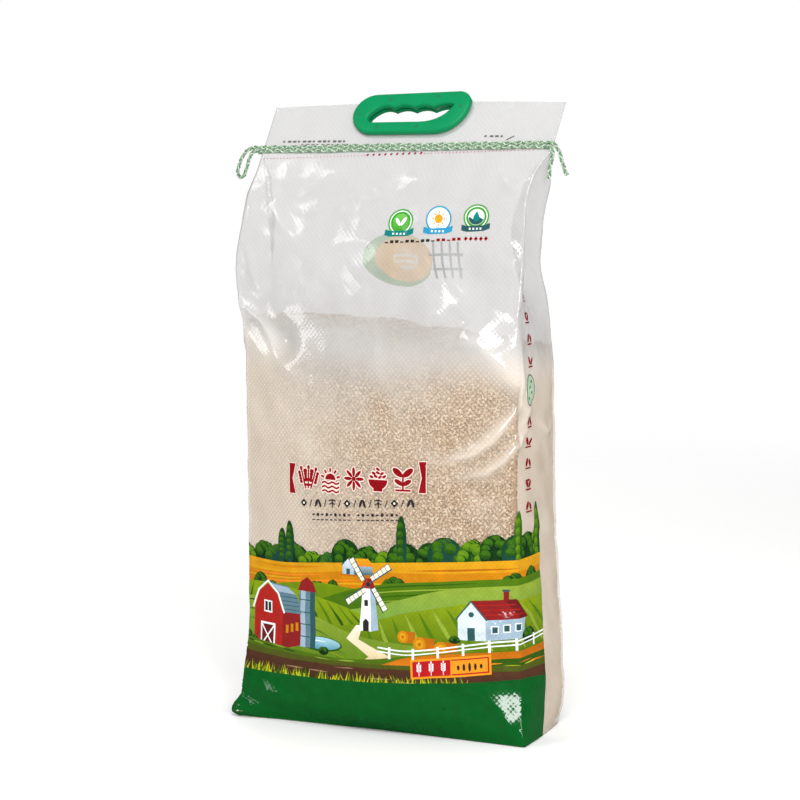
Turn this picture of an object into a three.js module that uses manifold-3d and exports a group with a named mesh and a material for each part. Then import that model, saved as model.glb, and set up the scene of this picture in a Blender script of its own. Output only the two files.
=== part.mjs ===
// A standing 10 kg rice sack: a clear side-gusseted film bag filled two thirds with rice, its flat
// header closed by two rows of plaited thread and gripped by a moulded clip-on carrying handle.
// Millimetres, +X right, +Y to the back, +Z up; the bag stands on z = 0 and faces -Y.
import * as THREE from 'three';
import { mergeVertices } from 'three/addons/utils/BufferGeometryUtils.js';
import Module from 'manifold-3d';

const wasm = await Module();
wasm.setup();

// ---- driving dimensions
const bodyWidth = 280;          // front left crease to front right crease
const frontCreaseY = -42;       // the front creases of the filled body
const backCreaseY = 48;         // the back creases
const bodyTop = 553;            // height where the bag closes flat into its header
const leanDeg = 32;             // the header leans back from upright by this much
const headerFoot = -8;          // header heights are measured along its slope from the seam line
const headerTop = 47;
const headerLeft = -148;
const headerRight = 154.5;
const headerSpread = [2, 4];    // how much the left and right edges open out towards the top
const headerArch = 3.5;         // the top edge rises this much in its middle
const filmStack = 2;            // thickness of the pressed flat film layers, measured along Y
const seamOrigin = [0, 15, 560];
const toCentre = [0.3, 4.1];    // brings the middle of the whole to the origin
const gap = 0.3;                // left between neighbours

const gripThickness = 13;       // the handle, through both halves
const gripSlot = 2.5;           // the slit that takes the header
const gripEdge = 2.5;           // rounding of the handle's edges
const gripFoot = 12;            // the handle's lower edge, up the header's slope
const gripHead = 57;            // its upper edge at the left end; it climbs a little to the right
const gripLeftX = -34.5;        // centre of its round left end
const gripSweep = [30, 34];     // the big right curve: its centre and radius
const gripShoulder = 13;        // radius of the upper right corner
const openingFoot = 24.5;       // the finger opening's flat lower edge
const fingerPitch = 20.4;
const firstCusp = 26.4;         // the cusp between the first two finger scallops, from the right
const cuspHeight = 40.3;
const cuspCount = 3;
const fingerRise = 6;           // control height of a finger scallop, twice its true rise
const slitSize = [200, 60];     // the slit is cut longer and deeper than the handle

const rowWidth = 3.8;           // one row of plaited closing thread
const rowThickness = 2.6;
const rowPitch = 4;
const rowCentre = -2.6;         // middle of the two rows, along the header's slope
const rowEnds = [-153.5, 150.5];
const rowTiltDeg = 0.4;         // the rows climb a little to the right
const backRowThickness = 1.2;
const threadRadius = 1.7;       // the loose thread at the ends of the rows
const threadSides = 8;

const filmCutGrowth = 1.08;     // the film's cut inside the ring is this much larger than the opening
const filmCutMiddle = [3.8, 34];
const filmCutDepth = 20;

const fullCrown = 2.2;          // how flat-topped an outward bulge is; an inward one is a plain V
const sharpCrown = 1;
const foldFade = 0.5;           // how fast folds run out towards a panel's edges

const frontColumns = 24;
const gussetColumns = 4;
const headerRows = 4;
const gripCurveSegments = 7;
const cutCurveSegments = 4;
const gripEdgeSegments = 3;
const rowSides = 10;

// ---- how the bag's four creases and its walls depart from a straight box: [height, outward offset]
const leftFrontOut = [[0, 0], [8, 5], [45, 4], [95, -0.5], [240, -1], [385, 2], [410, 10], [441, 19.5],
  [500, 17], [540, 10], [bodyTop, 8]];
const rightFrontOut = [[0, 15], [20, 10], [60, 5.5], [120, 3], [250, 0.5], [462, 0], [508, -3], [536, 3],
  [bodyTop, 14.5]];
const rightBackOut = [[0, 16], [20, 19], [50, 18], [120, 14], [200, 8], [285, 6], [383, 2.5], [431, -4.5],
  [450, -6.6], [480, -1.5], [508, 6], [531, 11], [bodyTop, 14.5]];
const leftBackOut = [[0, 2], [50, 6], [200, 3], [385, 3], [441, 11], [500, 12], [bodyTop, 8]];
const frontOut = [[0, 15], [12, 13], [35, 4], [60, 0], [385, 0], [440, -14], [480, -25], [508, -35],
  [bodyTop, -51.8]];
const backOut = [[0, -8], [25, 0], [60, 2], [385, 4], [450, -7], [480, -14], [508, -22.4], [531, -29.4],
  [bodyTop, -36.2]];
const frontBulge = [[0, -5], [10, 6], [25, 20], [60, 31], [200, 32], [330, 28], [420, 17], [500, 6],
  [bodyTop, 0]];
const backBulge = [[0, -4], [20, 6], [60, 13], [250, 14], [400, 10], [500, 3], [bodyTop, 0]];
const gussetBulge = [[0, 2], [40, 4], [200, 3], [340, 2], [400, -4], [470, -22], [530, -14], [bodyTop, 0.5]];

// Main folds of the front and back walls: a line from one [x, height] to another, pressed inwards.
const frontFolds = [
  { from: [-160, 418], to: [-96, 372], reach: 15, depth: 9 },
  { from: [138, 322], to: [62, 276], reach: 13, depth: 5 },
  { from: [142, 430], to: [88, 392], reach: 16, depth: 6 },
  { from: [-60, 500], to: [70, 478], reach: 24, depth: 4 },
];
const backFolds = [
  { from: [-130, 400], to: [-40, 450], reach: 18, depth: 6 },
  { from: [120, 430], to: [30, 400], reach: 18, depth: 5 },
];

const bodyHeights = [0, 4, 10, 18, 27, 40, 60, 85, 115, 145, 175, 205, 235, 262, 285, 305, 325, 345, 362,
  378, 392, 406, 420, 432, 443, 455, 468, 482, 496, 510, 523, 535, 545, bodyTop];

// ---- helpers
const lean = THREE.MathUtils.degToRad(leanDeg);

// A smooth curve through [height, value] knots: cubic pieces whose slopes come from the neighbours.
function smooth(knots, height) {
  const last = knots.length - 1;
  const slope = (i) => {
    const a = knots[Math.max(i - 1, 0)];
    const b = knots[Math.min(i + 1, last)];
    return (b[1] - a[1]) / (b[0] - a[0]);
  };
  const i = Math.min(Math.max(knots.findLastIndex((k) => k[0] <= height), 0), last - 1);
  const span = knots[i + 1][0] - knots[i][0];
  const t = Math.min(Math.max((height - knots[i][0]) / span, 0), 1);
  const start = (2 * t ** 3 - 3 * t ** 2 + 1) * knots[i][1] + (t ** 3 - 2 * t ** 2 + t) * span * slope(i);
  const end = (3 * t ** 2 - 2 * t ** 3) * knots[i + 1][1] + (t ** 3 - t ** 2) * span * slope(i + 1);
  return start + end;
}

// How deep the folds press the wall in at a point.
function foldDepth(folds, x, height) {
  let depth = 0;
  for (const fold of folds) {
    const line = new THREE.Line3(new THREE.Vector3(...fold.from, 0), new THREE.Vector3(...fold.to, 0));
    const here = new THREE.Vector3(x, height, 0);
    const distance = line.closestPointToPoint(here, true, new THREE.Vector3()).distanceTo(here);
    depth += fold.depth * Math.exp(-((distance / fold.reach) ** 2));
  }
  return depth;
}

// One wall of a level section, from corner a to corner b without b, pushed out along normal.
function wall(a, b, normal, bulge, columns, inward) {
  return Array.from({ length: columns }, (_, i) => {
    const s = i / columns;
    const crown = bulge * (1 - Math.abs(2 * s - 1) ** (bulge < 0 ? sharpCrown : fullCrown));
    const x = a[0] + (b[0] - a[0]) * s;
    const push = crown - inward(x) * Math.sin(Math.PI * s) ** foldFade;
    return [x + normal[0] * push, a[1] + (b[1] - a[1]) * s + normal[1] * push];
  });
}

function bodySection(height) {
  const half = bodyWidth / 2;
  const front = frontCreaseY - smooth(frontOut, height);
  const back = backCreaseY + smooth(backOut, height);
  const corners = [
    [-half - smooth(leftFrontOut, height), front],
    [half + smooth(rightFrontOut, height), front],
    [half + smooth(rightBackOut, height), back],
    [-half - smooth(leftBackOut, height), back],
  ];
  const side = smooth(gussetBulge, height);
  const still = () => 0;
  const points = [
    ...wall(corners[0], corners[1], [0, -1], smooth(frontBulge, height), frontColumns,
      (x) => foldDepth(frontFolds, x, height)),
    ...wall(corners[1], corners[2], [1, 0], side, gussetColumns, still),
    ...wall(corners[2], corners[3], [0, 1], smooth(backBulge, height), frontColumns,
      (x) => foldDepth(backFolds, x, height)),
    ...wall(corners[3], corners[0], [-1, 0], side, gussetColumns, still),
  ];
  return points.map(([x, y]) => [x, y, height]);
}

function headerSection(slopeHeight) {
  const rise = (slopeHeight - headerFoot) / (headerTop - headerFoot);
  const left = headerLeft + headerSpread[0] * rise;
  const right = headerRight + headerSpread[1] * rise;
  const half = filmStack / 2;
  const corners = [[left, -half], [right, -half], [right, half], [left, half]];
  const still = () => 0;
  const walls = [
    ...wall(corners[0], corners[1], [0, -1], 0, frontColumns, still),
    ...wall(corners[1], corners[2], [1, 0], half / 2, gussetColumns, still),
    ...wall(corners[2], corners[3], [0, 1], 0, frontColumns, still),
    ...wall(corners[3], corners[0], [-1, 0], half / 2, gussetColumns, still),
  ];
  return walls.map(([x, y]) => {
    const s = (x - left) / (right - left);
    const along = slopeHeight + headerArch * rise * (1 - (2 * s - 1) ** 2);
    return [x, seamOrigin[1] + y + along * Math.sin(lean), seamOrigin[2] + along * Math.cos(lean)];
  });
}

function toManifold(geometry) {
  const bare = geometry.clone();
  bare.deleteAttribute('normal');
  bare.deleteAttribute('uv');
  const merged = mergeVertices(bare, 1e-4);
  return new wasm.Manifold(new wasm.Mesh({
    numProp: 3,
    vertProperties: new Float32Array(merged.attributes.position.array),
    triVerts: new Uint32Array(merged.index.array),
  }));
}

function toGeometry(solid) {
  const mesh = solid.getMesh();
  const geometry = new THREE.BufferGeometry();
  geometry.setAttribute('position', new THREE.BufferAttribute(new Float32Array(mesh.vertProperties), 3));
  geometry.setIndex(Array.from(mesh.triVerts));
  geometry.computeVertexNormals();
  return geometry;
}

function material(color, roughness) {
  return new THREE.MeshStandardMaterial({ color, roughness, metalness: 0 });
}

function named(name, geometry, look) {
  const mesh = new THREE.Mesh(geometry, look);
  mesh.name = name;
  return mesh;
}

// ---- the bag: level sections joined into one skin, with a flat base and a closed top edge
function sackShell() {
  const sections = bodyHeights.map(bodySection);
  for (let i = 1; i <= headerRows; i += 1) {
    sections.push(headerSection(headerFoot + (headerTop - headerFoot) * (i / headerRows)));
  }
  const around = sections[0].length;
  const points = sections.flat(2);
  const faces = [];
  for (let row = 0; row < sections.length - 1; row += 1) {
    for (let i = 0; i < around; i += 1) {
      const a = row * around + i;
      const b = row * around + ((i + 1) % around);
      faces.push(a, b, b + around, a, b + around, a + around);
    }
  }
  const centre = points.length / 3;
  points.push(0, 0, 0);
  for (let i = 0; i < around; i += 1) faces.push(centre, (i + 1) % around, i);
  // the top edge is closed from its front line to its back line
  const top = (sections.length - 1) * around;
  const backStart = frontColumns + gussetColumns;
  const facing = (i) => top + ((backStart + frontColumns - i) % around);
  for (let i = 0; i < frontColumns; i += 1) {
    faces.push(top + i, top + i + 1, facing(i), top + i + 1, facing(i + 1), facing(i));
  }
  for (const first of [frontColumns, backStart + frontColumns]) {
    for (let i = 1; i < gussetColumns; i += 1) {
      faces.push(top + first, top + first + i, top + ((first + i + 1) % around));
    }
  }
  const skin = new THREE.BufferGeometry();
  skin.setAttribute('position', new THREE.Float32BufferAttribute(points, 3));
  skin.setIndex(faces);
  return skin;
}

// ---- the handle, drawn in the header's own plane
function gripOutline() {
  const [sweepX, sweepRadius] = gripSweep;
  const sweepHeight = gripFoot + sweepRadius;
  const leftRadius = (gripHead - gripFoot) / 2;
  const shoulderX = sweepX + sweepRadius - gripShoulder;
  const outline = new THREE.Shape();
  outline.moveTo(gripLeftX, gripFoot);
  outline.lineTo(sweepX, gripFoot);
  outline.absarc(sweepX, sweepHeight, sweepRadius, -Math.PI / 2, 0, false);
  outline.absarc(shoulderX, sweepHeight, gripShoulder, 0, Math.PI / 2, false);
  outline.lineTo(gripLeftX, gripHead);
  outline.absarc(gripLeftX, gripFoot + leftRadius, leftRadius, Math.PI / 2, 1.5 * Math.PI, false);
  return outline;
}

// The finger opening: a flat lower edge that sweeps up to the right, and scallops along the top.
function fingerOpening(Path) {
  const opening = new Path();
  opening.moveTo(-33, openingFoot);
  opening.lineTo(14, openingFoot);
  opening.quadraticCurveTo(38, openingFoot, 47.5, 43.5);
  for (let i = 0; i < cuspCount; i += 1) {
    const cusp = firstCusp - i * fingerPitch;
    opening.quadraticCurveTo(cusp + fingerPitch / 2, cuspHeight + fingerRise, cusp, cuspHeight);
  }
  opening.quadraticCurveTo(-24.6, cuspHeight + fingerRise, -34, 38.5);
  opening.quadraticCurveTo(-41, 33, -40, 28.5);
  opening.quadraticCurveTo(-39, openingFoot, -33, openingFoot);
  return opening;
}

function gripGeometry() {
  const outline = gripOutline();
  outline.holes.push(fingerOpening(THREE.Path));
  const body = new THREE.ExtrudeGeometry(outline, {
    depth: gripThickness - 2 * gripEdge,
    bevelEnabled: true,
    bevelSize: gripEdge,
    bevelThickness: gripEdge,
    bevelOffset: -gripEdge,
    bevelSegments: gripEdgeSegments,
    curveSegments: gripCurveSegments,
  }).translate(0, 0, gripEdge - gripThickness / 2);
  const slitTop = headerTop + headerArch + (filmStack / 2) * Math.sin(lean) + gap;
  const slit = new THREE.BoxGeometry(...slitSize, gripSlot).translate(0, slitTop - slitSize[1] / 2, 0);
  return toGeometry(toManifold(body).subtract(toManifold(slit)));
}

// A plain round-backed band that stands for one row of plaited stitches.
function rowGeometry(width, thickness) {
  const length = rowEnds[1] - rowEnds[0];
  const band = new THREE.CylinderGeometry(0.5, 0.5, length, rowSides).rotateZ(Math.PI / 2);
  return band.scale(1, width, thickness).translate((rowEnds[0] + rowEnds[1]) / 2, 0, 0);
}

function threadGeometry(points) {
  const route = new THREE.CatmullRomCurve3(points.map((p) => new THREE.Vector3(...p)));
  const section = new THREE.Shape();
  for (let i = 0; i <= threadSides; i += 1) {
    const angle = (i / threadSides) * 2 * Math.PI;
    const point = [threadRadius * Math.cos(angle), threadRadius * Math.sin(angle)];
    if (i === 0) section.moveTo(...point);
    else section.lineTo(...point);
  }
  const steps = Math.round(route.getLength() / (threadRadius * 2));
  return new THREE.ExtrudeGeometry(section, { steps, bevelEnabled: false, extrudePath: route });
}

// The loose thread: a loop that hangs at the left end of the rows, and two tails at the right.
const threadRoutes = {
  thread_loop: [[-153.9, 12.5, 560], [-156.6, 12.4, 560], [-160.4, 12, 559.4], [-164.4, 11.8, 557.4],
    [-168, 11.5, 554.2], [-171.3, 11.3, 549.2], [-174, 11.1, 543], [-175.6, 10.9, 537], [-175, 10.8, 532.6],
    [-171.6, 10.6, 530.6], [-168, 10.5, 533.2], [-165.9, 10.4, 538.4], [-164, 10.4, 544], [-162, 10.4, 549.6],
    [-159.4, 10.4, 554.4], [-156.6, 10.4, 556], [-153.9, 10.4, 556.2]],
  thread_tail_outer: [[150.9, 12.6, 561.6], [153.4, 12, 561.5], [156.6, 11, 559.8], [159.8, 10.4, 556.4],
    [162.4, 10, 551.8], [164, 9.8, 546.4], [165.8, 9.6, 540.8], [167.8, 9.4, 535.6], [169.8, 9.2, 531]],
  thread_tail_inner: [[150.9, 10.4, 557.6], [153, 9.6, 557.4], [155, 8.4, 555.4], [156.4, 7.4, 551.2],
    [156, 7, 546], [154.6, 6.8, 541], [153.8, 6.7, 536], [153.3, 6.6, 528]],
};

// ---- looks and assembly
const film = material(0xe4e2dc, 0.35);
const gripGreen = material(0x00995a, 0.42);
const threadGreen = material(0x86b08a, 0.85);

const part = new THREE.Group();
part.position.set(...toCentre, 0);

const header = new THREE.Group();
header.position.set(...seamOrigin);
header.rotation.x = Math.PI / 2 - lean;
part.add(header);

// The film is cut away inside the handle's ring, a little wider than the finger opening.
const filmCut = new THREE.ExtrudeGeometry(fingerOpening(THREE.Shape), {
  depth: filmCutDepth,
  bevelEnabled: false,
  curveSegments: cutCurveSegments,
});
filmCut.translate(-filmCutMiddle[0], -filmCutMiddle[1], -filmCutDepth / 2)
  .scale(filmCutGrowth, filmCutGrowth, 1)
  .translate(filmCutMiddle[0], filmCutMiddle[1], 0);
header.updateMatrix();
filmCut.applyMatrix4(header.matrix);
part.add(named('sack', toGeometry(toManifold(sackShell()).subtract(toManifold(filmCut))), film));

header.add(named('handle', gripGeometry(), gripGreen));

const filmHalf = (filmStack / 2) * Math.cos(lean);
const rows = new THREE.Group();
rows.rotation.z = THREE.MathUtils.degToRad(rowTiltDeg);
header.add(rows);
for (const [name, side, thickness] of [['front', 1, rowThickness], ['back', -1, backRowThickness]]) {
  for (const [place, step] of [['upper', 0.5], ['lower', -0.5]]) {
    const row = named(`stitches_${name}_${place}`, rowGeometry(rowWidth - gap, thickness), threadGreen);
    row.position.set(0, rowCentre + step * rowPitch, side * (filmHalf + gap + thickness / 2));
    rows.add(row);
  }
}

for (const [name, points] of Object.entries(threadRoutes)) {
  part.add(named(name, threadGeometry(points), threadGreen));
}

export default part;
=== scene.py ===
import math
import random

import bmesh
import bpy
import numpy as np
from mathutils import Matrix, Vector
from mathutils.geometry import delaunay_2d_cdt


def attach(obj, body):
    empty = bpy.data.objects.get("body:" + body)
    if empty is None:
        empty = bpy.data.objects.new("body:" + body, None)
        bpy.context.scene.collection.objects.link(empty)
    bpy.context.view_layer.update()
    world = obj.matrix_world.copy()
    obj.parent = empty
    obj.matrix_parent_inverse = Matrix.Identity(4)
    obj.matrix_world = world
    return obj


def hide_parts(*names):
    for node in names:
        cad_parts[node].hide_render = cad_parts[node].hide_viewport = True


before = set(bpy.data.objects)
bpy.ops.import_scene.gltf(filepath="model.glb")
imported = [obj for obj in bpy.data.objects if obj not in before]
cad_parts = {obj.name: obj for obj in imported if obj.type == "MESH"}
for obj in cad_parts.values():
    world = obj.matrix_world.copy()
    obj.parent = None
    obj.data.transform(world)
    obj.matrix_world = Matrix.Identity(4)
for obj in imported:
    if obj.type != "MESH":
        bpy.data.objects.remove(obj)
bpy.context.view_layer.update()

mm = 0.001
scene = bpy.context.scene
print("frame loaded:", ", ".join(sorted(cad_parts)))


# small helpers

def linear(code):
    channels = [int(code[i:i + 2], 16) / 255 for i in (1, 3, 5)]
    return tuple(c / 12.92 if c <= 0.04045 else ((c + 0.055) / 1.055) ** 2.4 for c in channels) + (1.0,)


def addNode(tree, kind, settings=None, links=None):
    node = tree.nodes.new(kind)
    for key, value in (settings or {}).items():
        if isinstance(key, int) or key in node.inputs:
            node.inputs[key].default_value = value
        else:
            setattr(node, key, value)
    for key, socket in (links or {}).items():
        tree.links.new(socket, node.inputs[key])
    return node


def newMaterial(name, settings):
    material = bpy.data.materials.new(name)
    material.use_nodes = True
    shader = material.node_tree.nodes["Principled BSDF"]
    for key, value in settings.items():
        shader.inputs[key].default_value = value
    return material, material.node_tree, shader


def addNoise(tree, place, scale, detail):
    return addNode(tree, "ShaderNodeTexNoise", {"Scale": scale, "Detail": detail}, {"Vector": place})


def addTint(tree, shader, first, second, factor):
    # a finish that goes from one colour to another
    tint = addNode(tree, "ShaderNodeMix", {"data_type": "RGBA", 6: first, 7: second}, {0: factor})
    tree.links.new(tint.outputs[2], shader.inputs["Base Color"])


def addBump(tree, shader, height, strength, depth):
    # fine relief that only the light sees; depth in mm
    bump = addNode(tree, "ShaderNodeBump", {"Strength": strength, "Distance": depth * mm}, {"Height": height})
    tree.links.new(bump.outputs["Normal"], shader.inputs["Normal"])


def meshFrom(build, name):
    mesh = bpy.data.meshes.new(name)
    build.to_mesh(mesh)
    build.free()
    return mesh


def addObject(name, mesh, material=None, smooth=True):
    thing = bpy.data.objects.new(name, mesh)
    scene.collection.objects.link(thing)
    if material is not None:
        mesh.materials.append(material)
    if smooth:
        mesh.shade_smooth()
    return thing


def dress(thing, replaced=()):
    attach(thing, "root")
    if replaced:
        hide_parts(*replaced)
    return thing


def bakedMesh(thing):
    # the mesh with its modifiers, or a curve's tube, as plain faces
    bpy.context.view_layer.update()
    seen = thing.evaluated_get(bpy.context.evaluated_depsgraph_get())
    return bpy.data.meshes.new_from_object(seen)


def removeThing(thing):
    data = thing.data
    bpy.data.objects.remove(thing)
    if isinstance(data, bpy.types.Mesh):
        bpy.data.meshes.remove(data)
    else:
        bpy.data.curves.remove(data)


def unitRows(vectors):
    return vectors / np.maximum(np.linalg.norm(vectors, axis=-1, keepdims=True), 1e-12)


# the camera, where the photograph was taken from

view = {
    "turn": 22.7,            # degrees round to the bag's right
    "down": 5.84,            # degrees below level
    "distance": 1885,        # mm from the bag's axis
    "height": 507,
    "sideStep": 4.6,
    "focalPixels": 1947,     # of an image 800 pixels wide
    "imagePixels": 800,
}
centreX, centreY = 0.3, 4.1  # where the bag's own axis stands in the frame, mm


def addCamera():
    turn = math.radians(view["turn"])
    data = bpy.data.cameras.new("camera")
    data.sensor_width = 36
    data.lens = view["focalPixels"] / view["imagePixels"] * data.sensor_width
    camera = bpy.data.objects.new("camera", data)
    scene.collection.objects.link(camera)
    x = view["distance"] * math.sin(turn) + view["sideStep"] * math.cos(turn)
    y = -view["distance"] * math.cos(turn) + view["sideStep"] * math.sin(turn)
    camera.location = Vector((x + centreX, y + centreY, view["height"])) * mm
    camera.rotation_euler = (math.radians(90 - view["down"]), 0, turn)
    scene.camera = camera


addCamera()


# the closing thread: soft cotton-and-polyester strands in green and white, plaited in threes

threadColours = {"deep": "#729c76", "mid": "#a7c2a4", "pale": "#d0dccb"}
fibreShade = 0.26            # how bright the dark side of the twist is, as a share of the strand's colour


def threadMaterial(name, colour):
    # dull spun thread: no gloss, with the fuzz and twist of its fibres
    material, tree, shader = newMaterial(name, {
        "Roughness": 0.85, "Specular IOR Level": 0.25, "Sheen Weight": 0.25, "Sheen Roughness": 0.5})
    place = addNode(tree, "ShaderNodeTexCoord").outputs["Object"]
    fibres = addNoise(tree, place, 900.0, 4.0).outputs["Fac"]
    spread = addNode(tree, "ShaderNodeMapRange", {"From Min": 0.36, "From Max": 0.52}, {"Value": fibres})
    dark = tuple(fibreShade * c for c in linear(colour)[:3]) + (1.0,)
    addTint(tree, shader, dark, linear(colour), spread.outputs["Result"])
    addBump(tree, shader, fibres, 0.9, 0.4)
    return material


threadMaterials = [threadMaterial("spun_thread_" + name, code) for name, code in threadColours.items()]


def smoothPath(points, step):
    # an even path through the points, in their own unit
    knots = np.array(points, float)
    knots = np.vstack([2 * knots[0] - knots[1], knots, 2 * knots[-1] - knots[-2]])
    path = []
    for a, b, c, d in zip(knots, knots[1:], knots[2:], knots[3:]):
        for t in np.linspace(0, 1, 12, endpoint=False):
            path.append(0.5 * (2 * b + (c - a) * t + (2 * a - 5 * b + 4 * c - d) * t ** 2
                               + (3 * b - a - 3 * c + d) * t ** 3))
    path = np.array(path + [knots[-2]])
    along = np.concatenate([[0], np.cumsum(np.linalg.norm(np.diff(path, axis=0), axis=1))])
    at = np.linspace(0, along[-1], max(3, round(along[-1] / step)))
    return np.stack([np.interp(at, along, path[:, k]) for k in range(3)], axis=1)


def plait(name, path, facing, settings, replaced=(), fray=0.0):
    # three strands that weave over each other; facing is the way the flat of the plait looks
    tangent = unitRows(np.gradient(path, axis=0))
    across = unitRows(np.cross(tangent, np.array(facing, float)))
    outward = np.cross(across, tangent)
    run = np.concatenate([[0], np.cumsum(np.linalg.norm(np.diff(path, axis=0), axis=1))])
    curve = bpy.data.curves.new(name, "CURVE")
    curve.dimensions = "3D"
    curve.bevel_depth = settings["strand"] / 2 * mm
    curve.bevel_resolution = 1
    curve.use_fill_caps = True
    spare = settings["width"] / 2 - settings["strand"] / 2
    lift = settings["thick"] / 2 - settings["strand"] / 2
    loosened = 1 + fray * np.clip((run - run[-1] + 5) / 5, 0, 1) ** 2
    for k, material in enumerate(threadMaterials):
        curve.materials.append(material)
        phase = 2 * math.pi * (run / settings["pitch"] + k / 3)
        strand = (path + across * (spare * loosened * np.sin(phase))[:, None]
                  + outward * (lift * loosened * np.sin(2 * phase))[:, None])
        spline = curve.splines.new("POLY")
        spline.points.add(len(strand) - 1)
        rows = np.hstack([strand * mm, np.ones((len(strand), 1))])
        spline.points.foreach_set("co", rows.ravel())
        spline.material_index = k
    source = bpy.data.objects.new(name + "_line", curve)
    scene.collection.objects.link(source)
    mesh = bakedMesh(source)
    removeThing(source)
    return dress(addObject(name, mesh), replaced)


looseThread = {"width": 4.0, "thick": 3.0, "strand": 1.6, "pitch": 11.0, "diameter": 3.6,
               "step": 0.6, "fray": 0.5}                 # mm, and how far the bare ends come apart
# the routes that the solids follow, in the bag's own millimetres
threadRoutes = {
    "thread_loop": [[-153.9, 12.5, 560], [-156.6, 12.4, 560], [-160.4, 12, 559.4], [-164.4, 11.8, 557.4],
                    [-168, 11.5, 554.2], [-171.3, 11.3, 549.2], [-174, 11.1, 543], [-175.6, 10.9, 537],
                    [-175, 10.8, 532.6], [-171.6, 10.6, 530.6], [-168, 10.5, 533.2], [-165.9, 10.4, 538.4],
                    [-164, 10.4, 544], [-162, 10.4, 549.6], [-159.4, 10.4, 554.4], [-156.6, 10.4, 556],
                    [-153.9, 10.4, 556.2]],
    "thread_tail_outer": [[150.9, 12.6, 561.6], [153.4, 12, 561.5], [156.6, 11, 559.8], [159.8, 10.4, 556.4],
                          [162.4, 10, 551.8], [164, 9.8, 546.4], [165.8, 9.6, 540.8], [167.8, 9.4, 535.6],
                          [169.8, 9.2, 531]],
    "thread_tail_inner": [[150.9, 10.4, 557.6], [153, 9.6, 557.4], [155, 8.4, 555.4], [156.4, 7.4, 551.2],
                          [156, 7, 546], [154.6, 6.8, 541], [153.8, 6.7, 536], [153.3, 6.6, 528]],
}


def addCords():
    for name, points in threadRoutes.items():
        path = smoothPath(points, looseThread["step"]) + (centreX, centreY, 0)
        loop = name == "thread_loop"
        fray = 0.0 if loop else looseThread["fray"]
        cord = plait("plaited_" + name, path, (0, -1, 0), looseThread, [name], fray)


addCords()
print("camera and cords done")


# the bag's form, which the solid has too: heights and offsets in mm
# a place on the film is (along, up): along runs round the bag from its front left crease, and up rises
# from the base to the header's top edge

bag = {
    "width": 280, "frontY": -42, "backY": 48, "bodyTop": 553,
    "panel": 300, "gusset": 90,
    "leanDeg": 32, "seamY": 15, "seamZ": 560, "headerFoot": -8, "headerTop": 47,
    "headerLeft": -148, "headerRight": 154.5, "headerSpread": (2, 4), "headerArch": 3.5,
    "stackHalf": 1.0, "pressedHalf": 0.45,
    "fullCrown": 2.2, "sharpCrown": 1.0, "foldFade": 0.5,
}
bag["girth"] = 2 * (bag["panel"] + bag["gusset"])
bag["rim"] = bag["bodyTop"] + bag["headerTop"] - bag["headerFoot"]
bagTop = bag["bodyTop"]
creaseOut = {
    "leftFront": [(0, 0), (8, 5), (45, 4), (95, -0.5), (240, -1), (385, 2), (410, 10), (441, 19.5),
                  (500, 17), (540, 10), (bagTop, 8)],
    "rightFront": [(0, 15), (20, 10), (60, 5.5), (120, 3), (250, 0.5), (462, 0), (508, -3), (536, 3),
                   (bagTop, 14.5)],
    "rightBack": [(0, 16), (20, 19), (50, 18), (120, 14), (200, 8), (285, 6), (383, 2.5), (431, -4.5),
                  (450, -6.6), (480, -1.5), (508, 6), (531, 11), (bagTop, 14.5)],
    "leftBack": [(0, 2), (50, 6), (200, 3), (385, 3), (441, 11), (500, 12), (bagTop, 8)],
}
frontOut = [(0, 15), (12, 13), (35, 4), (60, 0), (385, 0), (440, -14), (480, -25), (508, -35),
            (bagTop, -51.8)]
backOut = [(0, -8), (25, 0), (60, 2), (385, 4), (450, -7), (480, -14), (508, -22.4), (531, -29.4),
           (bagTop, -36.2)]
bulges = {
    "front": [(0, -5), (10, 6), (25, 20), (60, 31), (200, 32), (330, 28), (420, 17), (500, 6), (bagTop, 0)],
    "back": [(0, -4), (20, 6), (60, 13), (250, 14), (400, 10), (500, 3), (bagTop, 0)],
    "gusset": [(0, 2), (40, 4), (200, 3), (340, 2), (400, -4), (470, -22), (530, -14), (bagTop, 0.5)],
}
mainFolds = {
    "front": [((-160, 418), (-96, 372), 15, 9), ((138, 322), (62, 276), 13, 5),
              ((142, 430), (88, 392), 16, 6), ((-60, 500), (70, 478), 24, 4)],
    "back": [((-130, 400), (-40, 450), 18, 6), ((120, 430), (30, 400), 18, 5)],
}


def smooth(knots, height):
    knots = np.array(knots, float)
    last = len(knots) - 1
    order = np.arange(last + 1)
    lower, upper = knots[np.maximum(order - 1, 0)], knots[np.minimum(order + 1, last)]
    slope = (upper[:, 1] - lower[:, 1]) / (upper[:, 0] - lower[:, 0])
    i = np.clip(np.searchsorted(knots[:, 0], height, side="right") - 1, 0, last - 1)
    span = knots[i + 1, 0] - knots[i, 0]
    t = np.clip((height - knots[i, 0]) / span, 0, 1)
    start = (2 * t ** 3 - 3 * t ** 2 + 1) * knots[i, 1] + (t ** 3 - 2 * t ** 2 + t) * span * slope[i]
    end = (3 * t ** 2 - 2 * t ** 3) * knots[i + 1, 1] + (t ** 3 - t ** 2) * span * slope[i + 1]
    return start + end


def lineDistance(x, y, start, finish):
    # distance to a straight line's nearest point, and how far along the line that is, 0 to 1
    dx, dy = finish[0] - start[0], finish[1] - start[1]
    t = np.clip(((x - start[0]) * dx + (y - start[1]) * dy) / (dx * dx + dy * dy), 0, 1)
    return np.hypot(x - start[0] - t * dx, y - start[1] - t * dy), t


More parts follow.
